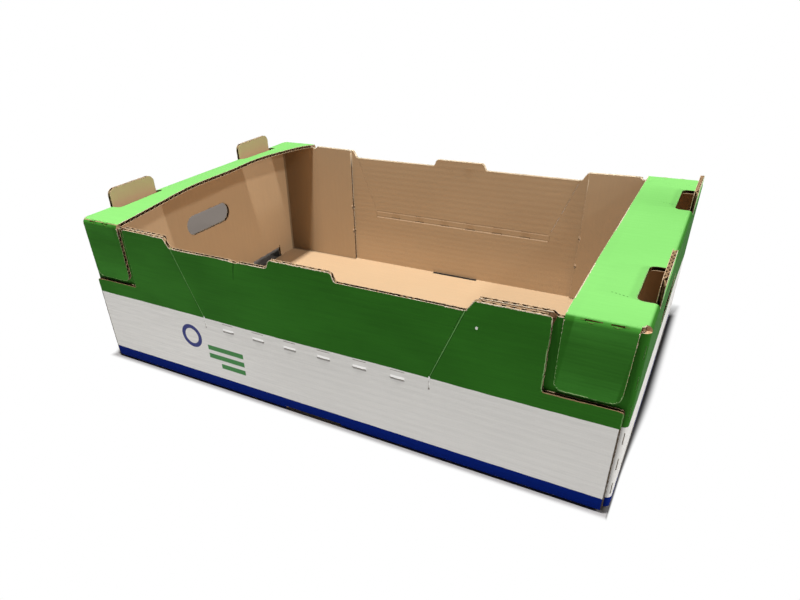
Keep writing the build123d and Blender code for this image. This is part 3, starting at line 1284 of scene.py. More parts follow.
class FoldedTray:
    """The folded sheet: its liners, cut edges and folds, from a copy of the CAD node.

    Args:
        sizes: the tray's sizes.
        node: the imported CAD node.
    """

    def __init__(self, sizes: TraySizes, node: bpy.types.Object) -> None:
        """Keeps the node, and makes room for the lines that the medium hangs on."""
        self.sizes = sizes
        self.node = node
        self.wear = BoardWear()
        self.bow = BowedShelf(sizes)
        self.warp = BoardWarp()
        self.lines = {"across": CutLine(), "along": CutLine(), "crushed": CutLine()}

    def fold(self, place: Vector, normal: Vector) -> tuple[Finish, Panel] | None:
        """Looks for a face on the folds.

        Args:
            place: middle of the face.
            normal: its normal.

        Returns:
            Its finish and panel, or None where it is on no fold.
        """
        size = self.sizes
        slack, skew, least, outward, inward = 0.02, 0.1, 0.3, 0.97, -0.9
        x, y, z = abs(place.x), abs(place.y), place.z
        nx, ny, nz = math.copysign(1, place.x) * normal.x, math.copysign(1, place.y) * normal.y, normal.z
        seats = (
            (Panel.LONG_FOLD, y - size.fold_y, size.fold_out - z, ny, -nz, nx),
            (Panel.LONG_FOLD, y - size.fold_y, z - size.fold_z, ny, nz, nx),
            (Panel.END_FOLD, x - size.fold_x, size.fold_out - z, nx, -nz, ny),
            (Panel.END_FOLD, x - size.fold_x, z - size.fold_z, nx, nz, ny),
            (Panel.CORNER_FOLD, x - size.fold_x, y - size.corner_y, nx, ny, nz),
        )
        for panel, a, b, na, nb, along in seats:
            if a < -slack or b < -slack or abs(along) > skew:
                continue
            radius = math.hypot(a, b)
            if radius < least:
                continue
            facing = (a * na + b * nb) / radius
            if facing > outward and size.fold_out - 0.25 < radius < size.fold_out + NEAR:
                return Finish.PRINTED, panel
            if facing < inward and radius < size.fold_in + 2 * NEAR:
                return Finish.KRAFT, panel
        return None

    def kind(self, face: bmesh.types.BMFace) -> tuple[Finish, Panel]:
        """Sorts a face of the flattened copy.

        Args:
            face: the face.

        Returns:
            Its finish and panel.
        """
        size, level = self.sizes, 0.99
        place, normal = face.calc_center_median(), face.normal
        on_fold = self.fold(place, normal)
        if on_fold:
            return on_fold
        x, y = abs(place.x), abs(place.y)
        out_x = math.copysign(1, place.x) * normal.x
        out_y = math.copysign(1, place.y) * normal.y
        planes = (
            (out_y, y, size.half_y, Finish.PRINTED, Panel.LONG_WALL, 1),
            (out_y, y, size.flap_y, Finish.PRINTED, Panel.CORNER_FLAP, 1),
            (out_y, y, size.flap_y, Finish.KRAFT, Panel.LONG_WALL, -1),
            (out_y, y, size.flap_y - size.board, Finish.KRAFT, Panel.CORNER_FLAP, -1),
            (out_x, x, size.half_x, Finish.PRINTED, Panel.END_WALL, 1),
            (out_x, x, size.half_x - size.board, Finish.KRAFT, Panel.END_WALL, -1),
            (normal.z, place.z, 0.0, Finish.PRINTED, Panel.FLAT, -1),
            (normal.z, place.z, size.board, Finish.KRAFT, Panel.FLAT, 1),
            (normal.z, place.z, size.shelf_top, Finish.PRINTED, Panel.FLAT, 1),
            (normal.z, place.z, size.shelf_top - size.board, Finish.KRAFT, Panel.FLAT, -1),
        )
        for facing, where, plane, finish, panel, sign in planes:
            if facing * sign > level and abs(where - plane) < NEAR:
                return finish, panel
        return Finish.SLIT, Panel.NONE

    def cut_edges(self) -> list[CutEdges]:
        """Lists the cut edges that show open flutes.

        Returns:
            The cut edges, layer by layer.
        """
        size = self.sizes
        above_fold = size.fold_out + 1.4

        def wall(place: Vector) -> bool:
            """Whether a place is in a long wall, off its panel's cuts."""
            clear = place.z > size.wall_low - 0.1 or abs(place.x) > size.panel_reach
            return place.z > above_fold and clear

        def flap(place: Vector) -> bool:
            """Whether a place is in a corner flap."""
            return place.z > above_fold and abs(place.x) < size.fold_x

        def end(place: Vector) -> bool:
            """Whether a place is in an end wall."""
            return place.z > above_fold and abs(place.y) < size.corner_y

        def shelf(place: Vector) -> bool:
            """Whether a place is in a shelf."""
            return size.shelf_x - 0.1 < abs(place.x) < size.fold_x and abs(place.y) < size.fold_y

        def floor(place: Vector) -> bool:
            """Whether a place is in the floor."""
            return abs(place.x) <= size.fold_x + 0.02 and abs(place.y) < size.fold_y

        made = [
            CutEdges(Axis.Z, size.shelf_top - size.board, size.shelf_top, Axis.Y, shelf, True),
            CutEdges(Axis.Z, 0.0, size.board, Axis.Y, floor, False),
        ]
        inner = size.flap_y - size.board
        for sign in (-1, 1):
            low, high = mirrored(sign, size.flap_y, size.half_y)
            made.append(CutEdges(Axis.Y, low, high, Axis.Z, wall, sign > 0))
            low, high = mirrored(sign, inner, size.flap_y)
            made.append(CutEdges(Axis.Y, low, high, Axis.X, flap, sign > 0))
            low, high = mirrored(sign, size.half_x - size.board, size.half_x)
            made.append(CutEdges(Axis.X, low, high, Axis.Y, end, sign > 0))
        return made

    def close_slits(self, bm: bmesh.types.BMesh, layer: Any) -> None:
        """Brings the sides of the panel's cuts together, to a thin line.

        Args:
            bm: the board.
            layer: the layer of its finishes.
        """
        size = self.sizes
        facing = {}
        for face in bm.faces:
            place = face.calc_center_median()
            if face[layer] != Finish.SLIT or abs(place.y) < size.flap_y - 0.1:
                continue
            if abs(place.x) > size.panel_reach + 0.5 or not size.panel_low < place.z < size.wall_low - 0.3:
                continue
            if abs(place.z - size.hinge_rows[0]) < 1.0 and abs(place.x) < size.knee_x - 5:
                continue
            for vert in face.verts:
                normals = facing.setdefault(vert, {})
                normals[tuple(round(part, 1) for part in face.normal)] = face.normal.copy()
        for vert, normals in facing.items():
            vert.co += sum(normals.values(), Vector((0, 0, 0))) * self.wear.slit_close

    def refine(self, bm: bmesh.types.BMesh) -> None:
        """Adds points where the board bulges, opens or is dented.

        Args:
            bm: the board.
        """
        size, wear = self.sizes, self.wear
        low, high = size.hinge_rows
        for sign in (-1, 1):
            y_low, y_high = mirrored(sign, size.flap_y - 0.5, size.half_y + 0.5)
            band = Vector((-size.knee_x, y_low, low - 3)), Vector((size.knee_x, y_high, high + 3))
            split_box(bm, band, Axis.Z, (low - 2.5, low + 1.5, low + 4.0, high + 2.5))
            for middle in self.tongues():
                split_box(bm, band, Axis.X, [middle + step for step in wear.hinge_steps])
            y_low, y_high = mirrored(sign, size.fold_y - 1, size.half_y + 0.5)
            for x in [end * middle for end in (-1, 1) for middle in size.shelf_slits]:
                box = Vector((x - 7, y_low, size.fold_z - 1)), Vector((x + 7, y_high, size.tab_top))
                split_box(bm, box, Axis.X, [x + step for step in wear.slit_steps])
        x = wear.dent_x
        box = Vector((x - 14, -size.half_y - 1, size.wall_low - 20)), Vector((x + 14, -WALL_Y, 170.0))
        split_box(bm, box, Axis.Z, [size.wall_low - 9])
        split_box(bm, box, Axis.X, [x + step for step in wear.dent_steps])
        for end, sign in [(end, sign) for end in (-1, 1) for sign in (-1, 1)]:
            x_low, x_high = mirrored(end, size.flap_end - 2, size.shelf_x)
            y_low, y_high = mirrored(sign, size.flap_y - size.board - 0.1, size.flap_y + 0.1)
            box = Vector((x_low, y_low, size.flap_top - 1)), Vector((x_high, y_high, size.shelf_top))
            split_box(bm, box, Axis.X, [end * (size.flap_end + step) for step in wear.flap_steps])

    def lift_flaps(self, bm: bmesh.types.BMesh) -> None:
        """Lifts the tops of the corner flaps above the long walls, up to the recesses.

        Args:
            bm: the board.
        """
        size = self.sizes
        rises, fall = dict(self.wear.flap_rise), self.wear.flap_fall
        inner, stop = size.flap_y - size.board, size.shelf_x - size.recess_gap
        for vert in bm.verts:
            x, y, z = vert.co
            off = abs(x) - size.flap_end
            if abs(z - size.flap_top) > 0.06 or not inner - 2 * NEAR < abs(y) < size.flap_y + 2 * NEAR:
                continue
            if off < -2 * NEAR or abs(x) > stop + fall:
                continue
            start, end = rises[int(math.copysign(1, x)), int(math.copysign(1, y))]
            share = min(max((stop + fall - abs(x)) / fall, 0.0), 1.0)
            vert.co.z += (start + (end - start) * off / (stop - size.flap_end)) * share

    def tongues(self) -> list[float]:
        """Middles of the hinge's slits, along X."""
        return [(i + 0.5) * self.sizes.hinge_pitch for i in range(-3, 3)]

    def bulge(self, place: Vector) -> Vector:
        """Moves the board out at the hinge, between the two rows of slits.

        Args:
            place: a place of the true board.

        Returns:
            Where it goes.
        """
        size, wear = self.sizes, self.wear
        low, high = size.hinge_rows
        if abs(place.y) < size.flap_y - 0.6 or not low < place.z < high:
            return place
        near = min(abs(place.x - middle) for middle in self.tongues()) / wear.tongue_half
        if near >= 1.0:
            return place
        out = wear.tongue_out * (1 - near * near) * (high - place.z) / (high - low)
        return place + Vector((0.0, math.copysign(out, place.y), 0.0))

    def dented(self, place: Vector) -> Vector:
        """Moves the front wall's low edge down and in at its dent.

        Args:
            place: a place of the board.

        Returns:
            Where it goes.
        """
        low, wear = self.sizes.wall_low, self.wear
        within = low - wear.dent_high < place.z < low + 1.5
        if place.y > -WALL_Y or not within or abs(place.x) > self.sizes.panel_reach:
            return place
        share = math.exp(-(((place.x - wear.dent_x) / wear.dent_wide) ** 2))
        share = share * (place.z - low + wear.dent_high) / wear.dent_high
        return place + Vector((0.0, 0.5 * wear.dent_deep * share, -wear.dent_deep * share))

    def slit_away(self, place: Vector) -> float:
        """Distance along X from the middle of the nearest slit in a shelf flap's fold."""
        return min(abs(abs(place.x) - middle) for middle in self.sizes.shelf_slits)

    def open_slits(self, bm: bmesh.types.BMesh, layer: Any) -> None:
        """Spreads the cuts in the folds of the shelf flaps, as bending has opened them.

        Args:
            bm: the board.
            layer: the layer of its finishes.
        """
        size = self.sizes
        moves = {}
        for face in bm.faces:
            place = face.calc_center_median()
            if face[layer] != Finish.SLIT or place.z < size.fold_z or abs(place.y) < size.fold_y - 0.1:
                continue
            if self.slit_away(place) > size.shelf_slit / 2 - 0.05 or abs(face.normal.x) > 0.5:
                continue
            for vert in face.verts:
                moves.setdefault(vert, face.normal.copy())
        for vert, normal in moves.items():
            share = max(1 - (2 * self.slit_away(vert.co) / size.shelf_slit) ** 2, 0.0)
            vert.co -= normal * (self.wear.slit_open * share)

    def settled(self, place: Vector) -> Vector:
        """Where a place of the true board is on the worn one."""
        return self.warp.moved(self.bow.bend(self.dented(self.bulge(place))))

    def open_edge(self, bm: bmesh.types.BMesh, layer: Any, cut: CutEdges) -> None:
        """Hollows one set of cut edges between its liners and notes the lines for the medium.

        Args:
            bm: the board.
            layer: the layer of its finishes.
            cut: the cut edges.
        """
        low, high = cut.low + self.sizes.liner, cut.high - self.sizes.liner

        def chosen() -> list[bmesh.types.BMFace]:
            """The cut faces of this set."""
            return [face for face in bm.faces if face[layer] == Finish.SLIT and cut.holds(face)]

        for plane in (low, high):
            split(bm, chosen(), cut.through, plane)
        bm.normal_update()
        middle = []
        for face in chosen():
            face[layer] = Finish.RIM
            if low < face.calc_center_median()[cut.through] < high:
                middle.append(face)
        if not middle:
            return
        inward = {}
        for face in middle:
            face[layer] = Finish.CORE
            for vert in face.verts:
                inward.setdefault(vert, []).append(-face.normal)
        push = {}
        for vert, normals in inward.items():
            total = sum(normals, Vector((0, 0, 0)))
            total = total.normalized() if total.length > 1e-6 else normals[0]
            stretch = sum(total.dot(n) for n in normals) / len(normals)
            push[vert] = total / max(stretch, self.wear.blunt)
        self.note_lines(cut, set(middle), push)
        kept = {tuple(round(c, 4) for c in vert.co): vector for vert, vector in push.items()}
        grown = bmesh.ops.extrude_face_region(bm, geom=middle)["geom"]
        faces = [item for item in grown if isinstance(item, bmesh.types.BMFace)]
        for item in grown:
            if isinstance(item, bmesh.types.BMVert):
                vector = kept[tuple(round(c, 4) for c in item.co)]
                item.co += vector * self.wear.core_depth
                for face in item.link_faces:
                    face[layer] = Finish.CORE
        left = [face for face in middle if face.is_valid and face not in faces]
        if left:
            bmesh.ops.delete(bm, geom=left, context="FACES_ONLY")

    def note_lines(self, cut: CutEdges, middle: set, push: dict) -> None:
        """Adds the lines where the given faces meet the printed liner, in the order of their places.

        Args:
            cut: the cut edges.
            middle: the faces between the liners.
            push: the way into the board at each of their points.
        """
        size, dent_x, dent_half = self.sizes, self.wear.dent_x, 8.1
        plane = cut.high - size.liner if cut.outer_high else cut.low + size.liner
        through, across = Vector((0, 0, 0)), Vector((0, 0, 0))
        through[cut.through] = -cut.facing
        across[cut.across] = 1.0
        places = {key: {} for key in self.lines}
        found = {}
        for edge in {edge for face in middle for edge in face.edges}:
            if all(abs(vert.co[cut.through] - plane) <= 0.01 for vert in edge.verts):
                verts = sorted(edge.verts, key=lambda vert: vert.co[:])
                found[tuple(vert.co[:] for vert in verts)] = verts
        for verts in (found[ends] for ends in sorted(found)):
            run = (verts[1].co - verts[0].co).normalized()
            key = "across" if abs(run[cut.across]) > 0.3 else "along"
            spots = [vert.co for vert in verts]
            dented = spots[0].y < -WALL_Y and all(abs(spot.x - dent_x) < dent_half for spot in spots)
            top = min(spot.z for spot in spots) > size.wall_low + (-3 if dented else 2)
            beside = Vector((1.0, 0.0, 0.0)) if key == "along" and cut.across == Axis.Z and top else across
            key = "crushed" if beside is not across else key
            line, index = self.lines[key], places[key]
            for vert in verts:
                if vert not in index:
                    index[vert] = len(line.points)
                    line.points.append(vert.co.copy())
                    line.inward.append(push[vert].copy())
                    line.through.append(through)
                    line.across.append(beside)
            line.edges.append(tuple(index[vert] for vert in verts))

    def lay(self, place: Vector, panel: Panel) -> tuple[float, float]:
        """Finds a place in the flat sheet.

        Args:
            place: the place on the folded board.
            panel: the panel that it is on.

        Returns:
            Its place along and across the flutes.
        """
        size = self.sizes
        x, y, z = place
        over = abs(size.shelf_top / 2 - z)
        if panel == Panel.LONG_WALL:
            return x, z
        if panel == Panel.END_WALL:
            return z, y
        if panel == Panel.CORNER_FLAP:
            return z, x
        if panel == Panel.LONG_FOLD:
            return x, math.atan2(abs(y) - size.fold_y, over) * size.fold_out
        if panel == Panel.END_FOLD:
            return math.atan2(abs(x) - size.fold_x, over) * size.fold_out, y
        if panel == Panel.CORNER_FOLD:
            return z, math.atan2(abs(x) - size.fold_x, max(abs(y) - size.corner_y, 0.0)) * size.fold_out
        return x, y

    def sort_faces(self, bm: bmesh.types.BMesh) -> tuple[Any, Any]:
        """Sorts the faces, and cuts the sides of the openings where the folds start.

        Args:
            bm: the board.

        Returns:
            The layers of the finishes and of the panels.
        """
        size = self.sizes
        layer = bm.faces.layers.int.new("finish")
        panels = bm.faces.layers.int.new("panel")
        for face in bm.faces:
            face[layer], face[panels] = self.kind(face)
        bends = [(Axis.X, size.fold_x), (Axis.Y, size.fold_y), (Axis.Y, size.corner_y)]
        planes = [(axis, sign * where) for axis, where in bends for sign in (-1, 1)]
        planes += [(Axis.Z, size.fold_out), (Axis.Z, size.fold_z)]
        for axis, where in planes:
            split(bm, [f for f in bm.faces if f[layer] == Finish.SLIT], axis, where)
        bm.normal_update()
        return layer, panels

    def cut_grid(self, bm: bmesh.types.BMesh) -> None:
        """Cuts the board in a grid, so that it can warp.

        Args:
            bm: the board.
        """
        size, pace = self.sizes, self.wear.grid
        upright, level = self.wear.grid_from
        for axis, reach in ((Axis.X, size.half_x), (Axis.Y, size.half_y)):
            count = int(reach // pace)
            for i in range(-count, count + 1):
                split(bm, list(bm.faces), axis, i * pace + upright)
        for i in range(1, int(size.shelf_top // pace) + 1):
            split(bm, list(bm.faces), Axis.Z, i * pace + level)

    def unfold(self, bm: bmesh.types.BMesh, layer: Any, panels: Any) -> None:
        """Notes each face's place in the flat sheet, its material and its sharp edges.

        Args:
            bm: the board.
            layer: the layer of its finishes.
            panels: the layer of its panels.
        """
        lay = bm.loops.layers.uv.new("flat")
        for face in bm.faces:
            for loop in face.loops:
                along, across = self.lay(loop.vert.co, Panel(face[panels]))
                loop[lay].uv = (along * MM, across * MM)
            face.material_index = face[layer]
            face.smooth = True
        for edge in bm.edges:
            near = {(face[layer], face[panels]) for face in edge.link_faces}
            edge.smooth = not (len(near) > 1 or face_turn(edge) > math.radians(self.wear.sharp))

    def build(self) -> bpy.types.Object:
        """Makes the dressed sheet as a new object.

        Returns:
            The object, which replaces the CAD node.
        """
        self.warp.begin()
        bm = bmesh.new()
        bm.from_mesh(self.node.data)
        bmesh.ops.remove_doubles(bm, verts=bm.verts, dist=1e-5)
        for vert in bm.verts:
            vert.co /= MM
        self.bow.measure(bm)
        self.bow.flatten(bm)
        bm.normal_update()
        layer, panels = self.sort_faces(bm)
        self.close_slits(bm, layer)
        self.refine(bm)
        self.lift_flaps(bm)
        bm.normal_update()
        self.open_slits(bm, layer)
        for cut in self.cut_edges():
            self.open_edge(bm, layer, cut)
        self.cut_grid(bm)
        self.unfold(bm, layer, panels)
        for vert in bm.verts:
            vert.co = self.settled(vert.co) * MM
        bmesh.ops.triangulate(bm, faces=[f for f in bm.faces if len(f.verts) > 4])
        bm.normal_update()
        made = bpy.data.meshes.new("tray_board")
        bm.to_mesh(made)
        bm.free()
        return placed("tray_board", made)

    def finishes(self) -> list[bpy.types.Material]:
        """Makes the sheet's materials.

        Returns:
            The materials, in the order of Finish.
        """
        pitch = self.sizes.flute_pitch
        return [
            PrintedLiner("printed_liner", 0.65, 0.02, pitch).material(),
            KraftLiner("kraft_liner", 0.85, 0.05, pitch).material(),
            # The core's very dark browns are painted shade deep in the hollowed cut edges.
            RawPaper("shaded_board_core", 0.95, 0.0, (0.11, 0.06, 0.03), (0.035, 0.02, 0.01)).material(),
            RimPaper("liner_rim", 0.9, 0.03, (0.56, 0.44, 0.31), (0.34, 0.22, 0.13)).material(),
            SlitLips("slit_lips", 0.9, 0.05).material(),
        ]


def face_turn(edge: bmesh.types.BMEdge) -> float:
    """Angle between the two faces of an edge, 0 where it has fewer."""
    return edge.calc_face_angle(0.0) if len(edge.link_faces) == 2 else 0.0


def attribute(kit: NodeKit, name: str) -> bpy.types.NodeSocket:
    """A named vector of the points."""
    settings = {"data_type": "FLOAT_VECTOR"}
    return kit.node("GeometryNodeInputNamedAttribute", settings, {"Name": name}).outputs[0]


def scaled(kit: NodeKit, vector: Any, factor: Any) -> bpy.types.NodeSocket:
    """A vector times a number."""
    settings = {"operation": "SCALE"}
    return kit.node("ShaderNodeVectorMath", settings, {0: vector, "Scale": factor}).outputs[0]


def moved(kit: NodeKit, geometry: Any, offset: Any) -> bpy.types.NodeSocket:
    """A geometry whose points are moved by an offset."""
    inputs = {"Geometry": geometry, "Offset": offset}
    return kit.node("GeometryNodeSetPosition", {}, inputs).outputs[0]


@dataclass
class PaperRibbon:
    """A ribbon of paper that follows the cut edges: the wavy medium, or the ragged rim of a liner.

    Args:
        name: name of the piece.
        lines: which of the tray's lines it follows.
        step: distance between its points along an edge, in millimetres.
        rows: rows of faces into the board.
        depth: how far it goes into the board.
        paper: its thickness.
        height: how far its waves reach through the board; 0 is a flat ribbon.
        shift: where it starts, from the inside of the printed liner.
        ragged: how unevenly it ends, into the board, or out of it where negative.
        materials: its finish, and that of its printed side or cut rim if it has one.
        shown: the direction that the faces of the second finish turn away from.
    """

    name: str
    lines: str
    step: float
    rows: int
    depth: float
    paper: float
    height: float
    shift: float
    ragged: float
    materials: tuple[bpy.types.Material, ...]
    shown: str = "through"

    def tree(self) -> bpy.types.NodeTree:
        """Makes the geometry nodes that hang the ribbon on lines along the cut edges.

        Returns:
            The node tree.
        """
        tree = bpy.data.node_groups.new(self.name, "GeometryNodeTree")
        face = tree.interface
        face.new_socket("Geometry", in_out="INPUT", socket_type="NodeSocketGeometry")
        names = ("Step", "Depth", "Pitch", "Height", "Paper", "Shift", "Ragged")
        for name in names:
            face.new_socket(name, in_out="INPUT", socket_type="NodeSocketFloat")
        face.new_socket("Geometry", in_out="OUTPUT", socket_type="NodeSocketGeometry")
        kit = NodeKit(tree)
        given = kit.node("NodeGroupInput", {}, {}).outputs
        step, depth, pitch, height, paper, shift, ragged = (
            Term(kit, given[i + 1]) for i in range(len(names))
        )
        curve = kit.node("GeometryNodeMeshToCurve", {}, {0: given[0]}).outputs[0]
        even = kit.node("GeometryNodeResampleCurve", {"mode": "LENGTH"}, {"Curve": curve, "Length": step})
        shape = kit.node("GeometryNodeCurveToMesh", {}, {0: even.outputs[0]}).outputs[0]
        inward, through, across = (attribute(kit, name) for name in ("inward", "through", "across"))
        place = kit.node("GeometryNodeInputPosition", {}, {}).outputs[0]
        fine, slow_drift = 900.0, 35.0
        uneven = kit.mottle(place, fine, 1.0).ramp(0.3, 0.7)
        shape = moved(kit, shape, scaled(kit, inward, ragged * uneven))
        selection = True
        for _ in range(self.rows):
            inputs = {
                "Mesh": shape,
                "Selection": selection,
                "Offset": scaled(kit, inward, depth / self.rows),
                "Offset Scale": 1.0,
            }
            grown = kit.node("GeometryNodeExtrudeMesh", {"mode": "EDGES"}, inputs)
            shape, selection = grown.outputs[0], grown.outputs[1]
        settings = {"operation": "DOT_PRODUCT"}
        run = kit.value("ShaderNodeVectorMath", settings, {0: place, 1: across}, output=1)
        drift = (kit.mottle(place, slow_drift) - 0.5) * 0.25
        wave = ((run / pitch + drift) * (2 * math.pi)).sine()
        shape = moved(kit, shape, scaled(kit, through, shift + height * (0.5 + 0.5 * wave)))
        self.finish(kit, shape, scaled(kit, through, paper))
        return tree

    def finish(self, kit: NodeKit, shape: Any, offset: Any) -> None:
        """Makes the ribbon thick and closed, gives it its material and hands it out.

        Args:
            kit: adds the nodes.
            shape: the thin ribbon.
            offset: the way through the thickness.
        """
        inputs = {"Mesh": shape, "Offset": offset, "Offset Scale": 1.0, "Individual": False}
        thick = kit.node("GeometryNodeExtrudeMesh", {"mode": "FACES"}, inputs).outputs[0]
        back = kit.node("GeometryNodeFlipFaces", {}, {0: shape}).outputs[0]
        both = kit.node("GeometryNodeJoinGeometry", {}, {})
        for part in (thick, back):
            kit.tree.links.new(part, both.inputs[0])
        inputs = {"Geometry": both.outputs[0], "Distance": 1e-6}
        closed = kit.node("GeometryNodeMergeByDistance", {}, inputs).outputs[0]
        real = kit.node("GeometryNodeRealizeInstances", {}, {0: closed}).outputs[0]
        inputs = {0: real, "Material": self.materials[0]}
        kit.node("NodeGroupOutput", {}, {0: kit.node("GeometryNodeSetMaterial", {}, inputs).outputs[0]})

    def build(self, tray: FoldedTray) -> bpy.types.Object:
        """Makes the ribbon as a plain mesh, bent as the board is.

        Args:
            tray: the board, whose lines, bow and warp it follows.

        Returns:
            The piece.
        """
        holder = tray.lines[self.lines].mesh(self.name)
        modifier = holder.modifiers.new("ribbon", "NODES")
        modifier.node_group = self.tree()
        wanted = {
            "Step": self.step, "Depth": self.depth, "Pitch": tray.sizes.flute_pitch,
            "Height": self.height, "Paper": self.paper, "Shift": self.shift, "Ragged": self.ragged,
        }
        set_inputs(modifier, wanted, MM)
        made = plain_mesh(holder)
        bm = bmesh.new()
        bm.from_mesh(made)
        bmesh.ops.recalc_face_normals(bm, faces=bm.faces)
        away = bm.verts.layers.float_vector[self.shown]
        for face in bm.faces:
            second = face.normal.dot(face.verts[0][away]) < -0.7
            face.material_index = int(second and len(self.materials) > 1)
        for vert in bm.verts:
            vert.co = tray.settled(vert.co / MM) * MM
        bm.to_mesh(made)
        bm.free()
        made.materials.clear()
        for material in self.materials:
            made.materials.append(material)
        holder.data = made
        holder.modifiers.clear()
        return holder


def paper_edges(sizes: TraySizes, printed: bpy.types.Material) -> list[PaperRibbon]:
    """Lists the ribbons: the medium in the open edges, and the ragged rims of the liners.

    Args:
        sizes: the tray's sizes.
        printed: the finish of the printed liner.

    Returns:
        The ribbons.
    """
    clear = sizes.board - 2 * sizes.liner
    paper, crushed = 0.28, 0.9
    wave = clear - paper
    rim = RawPaper("medium_rim", 0.95, 0.02, (0.68, 0.56, 0.42), (0.46, 0.33, 0.20)).material()
    waves = RawPaper("medium_paper", 0.95, 0.02, (0.42, 0.28, 0.16), (0.20, 0.12, 0.06)).material()
    medium = (waves, rim)
    # The medium along the flutes is darkened: painted shade deep in the board.
    deep = (RawPaper("shaded_deep_medium", 0.95, 0.0, (0.20, 0.11, 0.05), (0.08, 0.045, 0.02)).material(),)
    edge = RimPaper("white_edge", 0.9, 0.03, (0.62, 0.55, 0.44), (0.38, 0.28, 0.18)).material()
    white = (edge, printed)
    kraft = (RawPaper("kraft_edge", 0.9, 0.03, (0.56, 0.42, 0.28), (0.36, 0.24, 0.14)).material(),)
    flat = clear - crushed
    made = [
        PaperRibbon("medium_across_edges", "across", 0.75, 1, 3.2, paper, wave, 0.0, 0.3, medium, "inward"),
        PaperRibbon("medium_along_edges", "along", 1.6, 3, 2.6, paper, wave, 0.0, 2.2, deep),
        PaperRibbon("crushed_medium", "crushed", 0.7, 1, 2.4, crushed, flat, 0.0, 0.3, medium, "inward"),
    ]
    for lines in ("across", "along", "crushed"):
        rims = (("outer", -sizes.liner, -0.4, white), ("inner", clear, -0.45, kraft))
        for side, shift, ragged, finish in rims:
            name = f"{side}_rim_{lines}"
            made.append(PaperRibbon(name, lines, 1.1, 1, 0.8, sizes.liner, 0.0, shift, ragged, finish))
    return made


def set_inputs(modifier: bpy.types.Modifier, wanted: dict[str, Any], unit: float) -> None:
    """Sets a geometry nodes modifier's inputs by their identifiers.

    Args:
        modifier: the modifier.
        wanted: values by the inputs' names.
        unit: what one is in metres.
    """
    for socket in modifier.node_group.interface.items_tree:
        if socket.item_type == "SOCKET" and socket.in_out == "INPUT" and socket.name in wanted:
            modifier[socket.identifier] = wanted[socket.name] * unit


def plain_mesh(holder: bpy.types.Object) -> bpy.types.Mesh:
    """Takes the evaluated shape of an object.

    Args:
        holder: the object.

    Returns:
        The shape, as a mesh of its own.
    """
    bpy.context.view_layer.update()
    graph = bpy.context.evaluated_depsgraph_get()
    return bpy.data.meshes.new_from_object(holder.evaluated_get(graph))


@dataclass(frozen=True)
class Lamp:
    """A square soft lamp.

    Args:
        name: its name.
        place: where it is, in metres.
        aim: the place that it is aimed at, in metres.
        size: its side, in metres.
        power: its power in watts.
    """

    name: str
    place: tuple[float, float, float]
    aim: tuple[float, float, float]
    size: float
    power: float

    def build(self) -> None:
        """Adds the lamp."""
        data = bpy.data.lights.new(self.name, "AREA")
        data.size = self.size
        data.energy = self.power
        shown = placed(self.name, data)
        shown.location = self.place
        aim = Vector(self.aim) - Vector(self.place)
        shown.rotation_euler = aim.to_track_quat("-Z", "Y").to_euler()


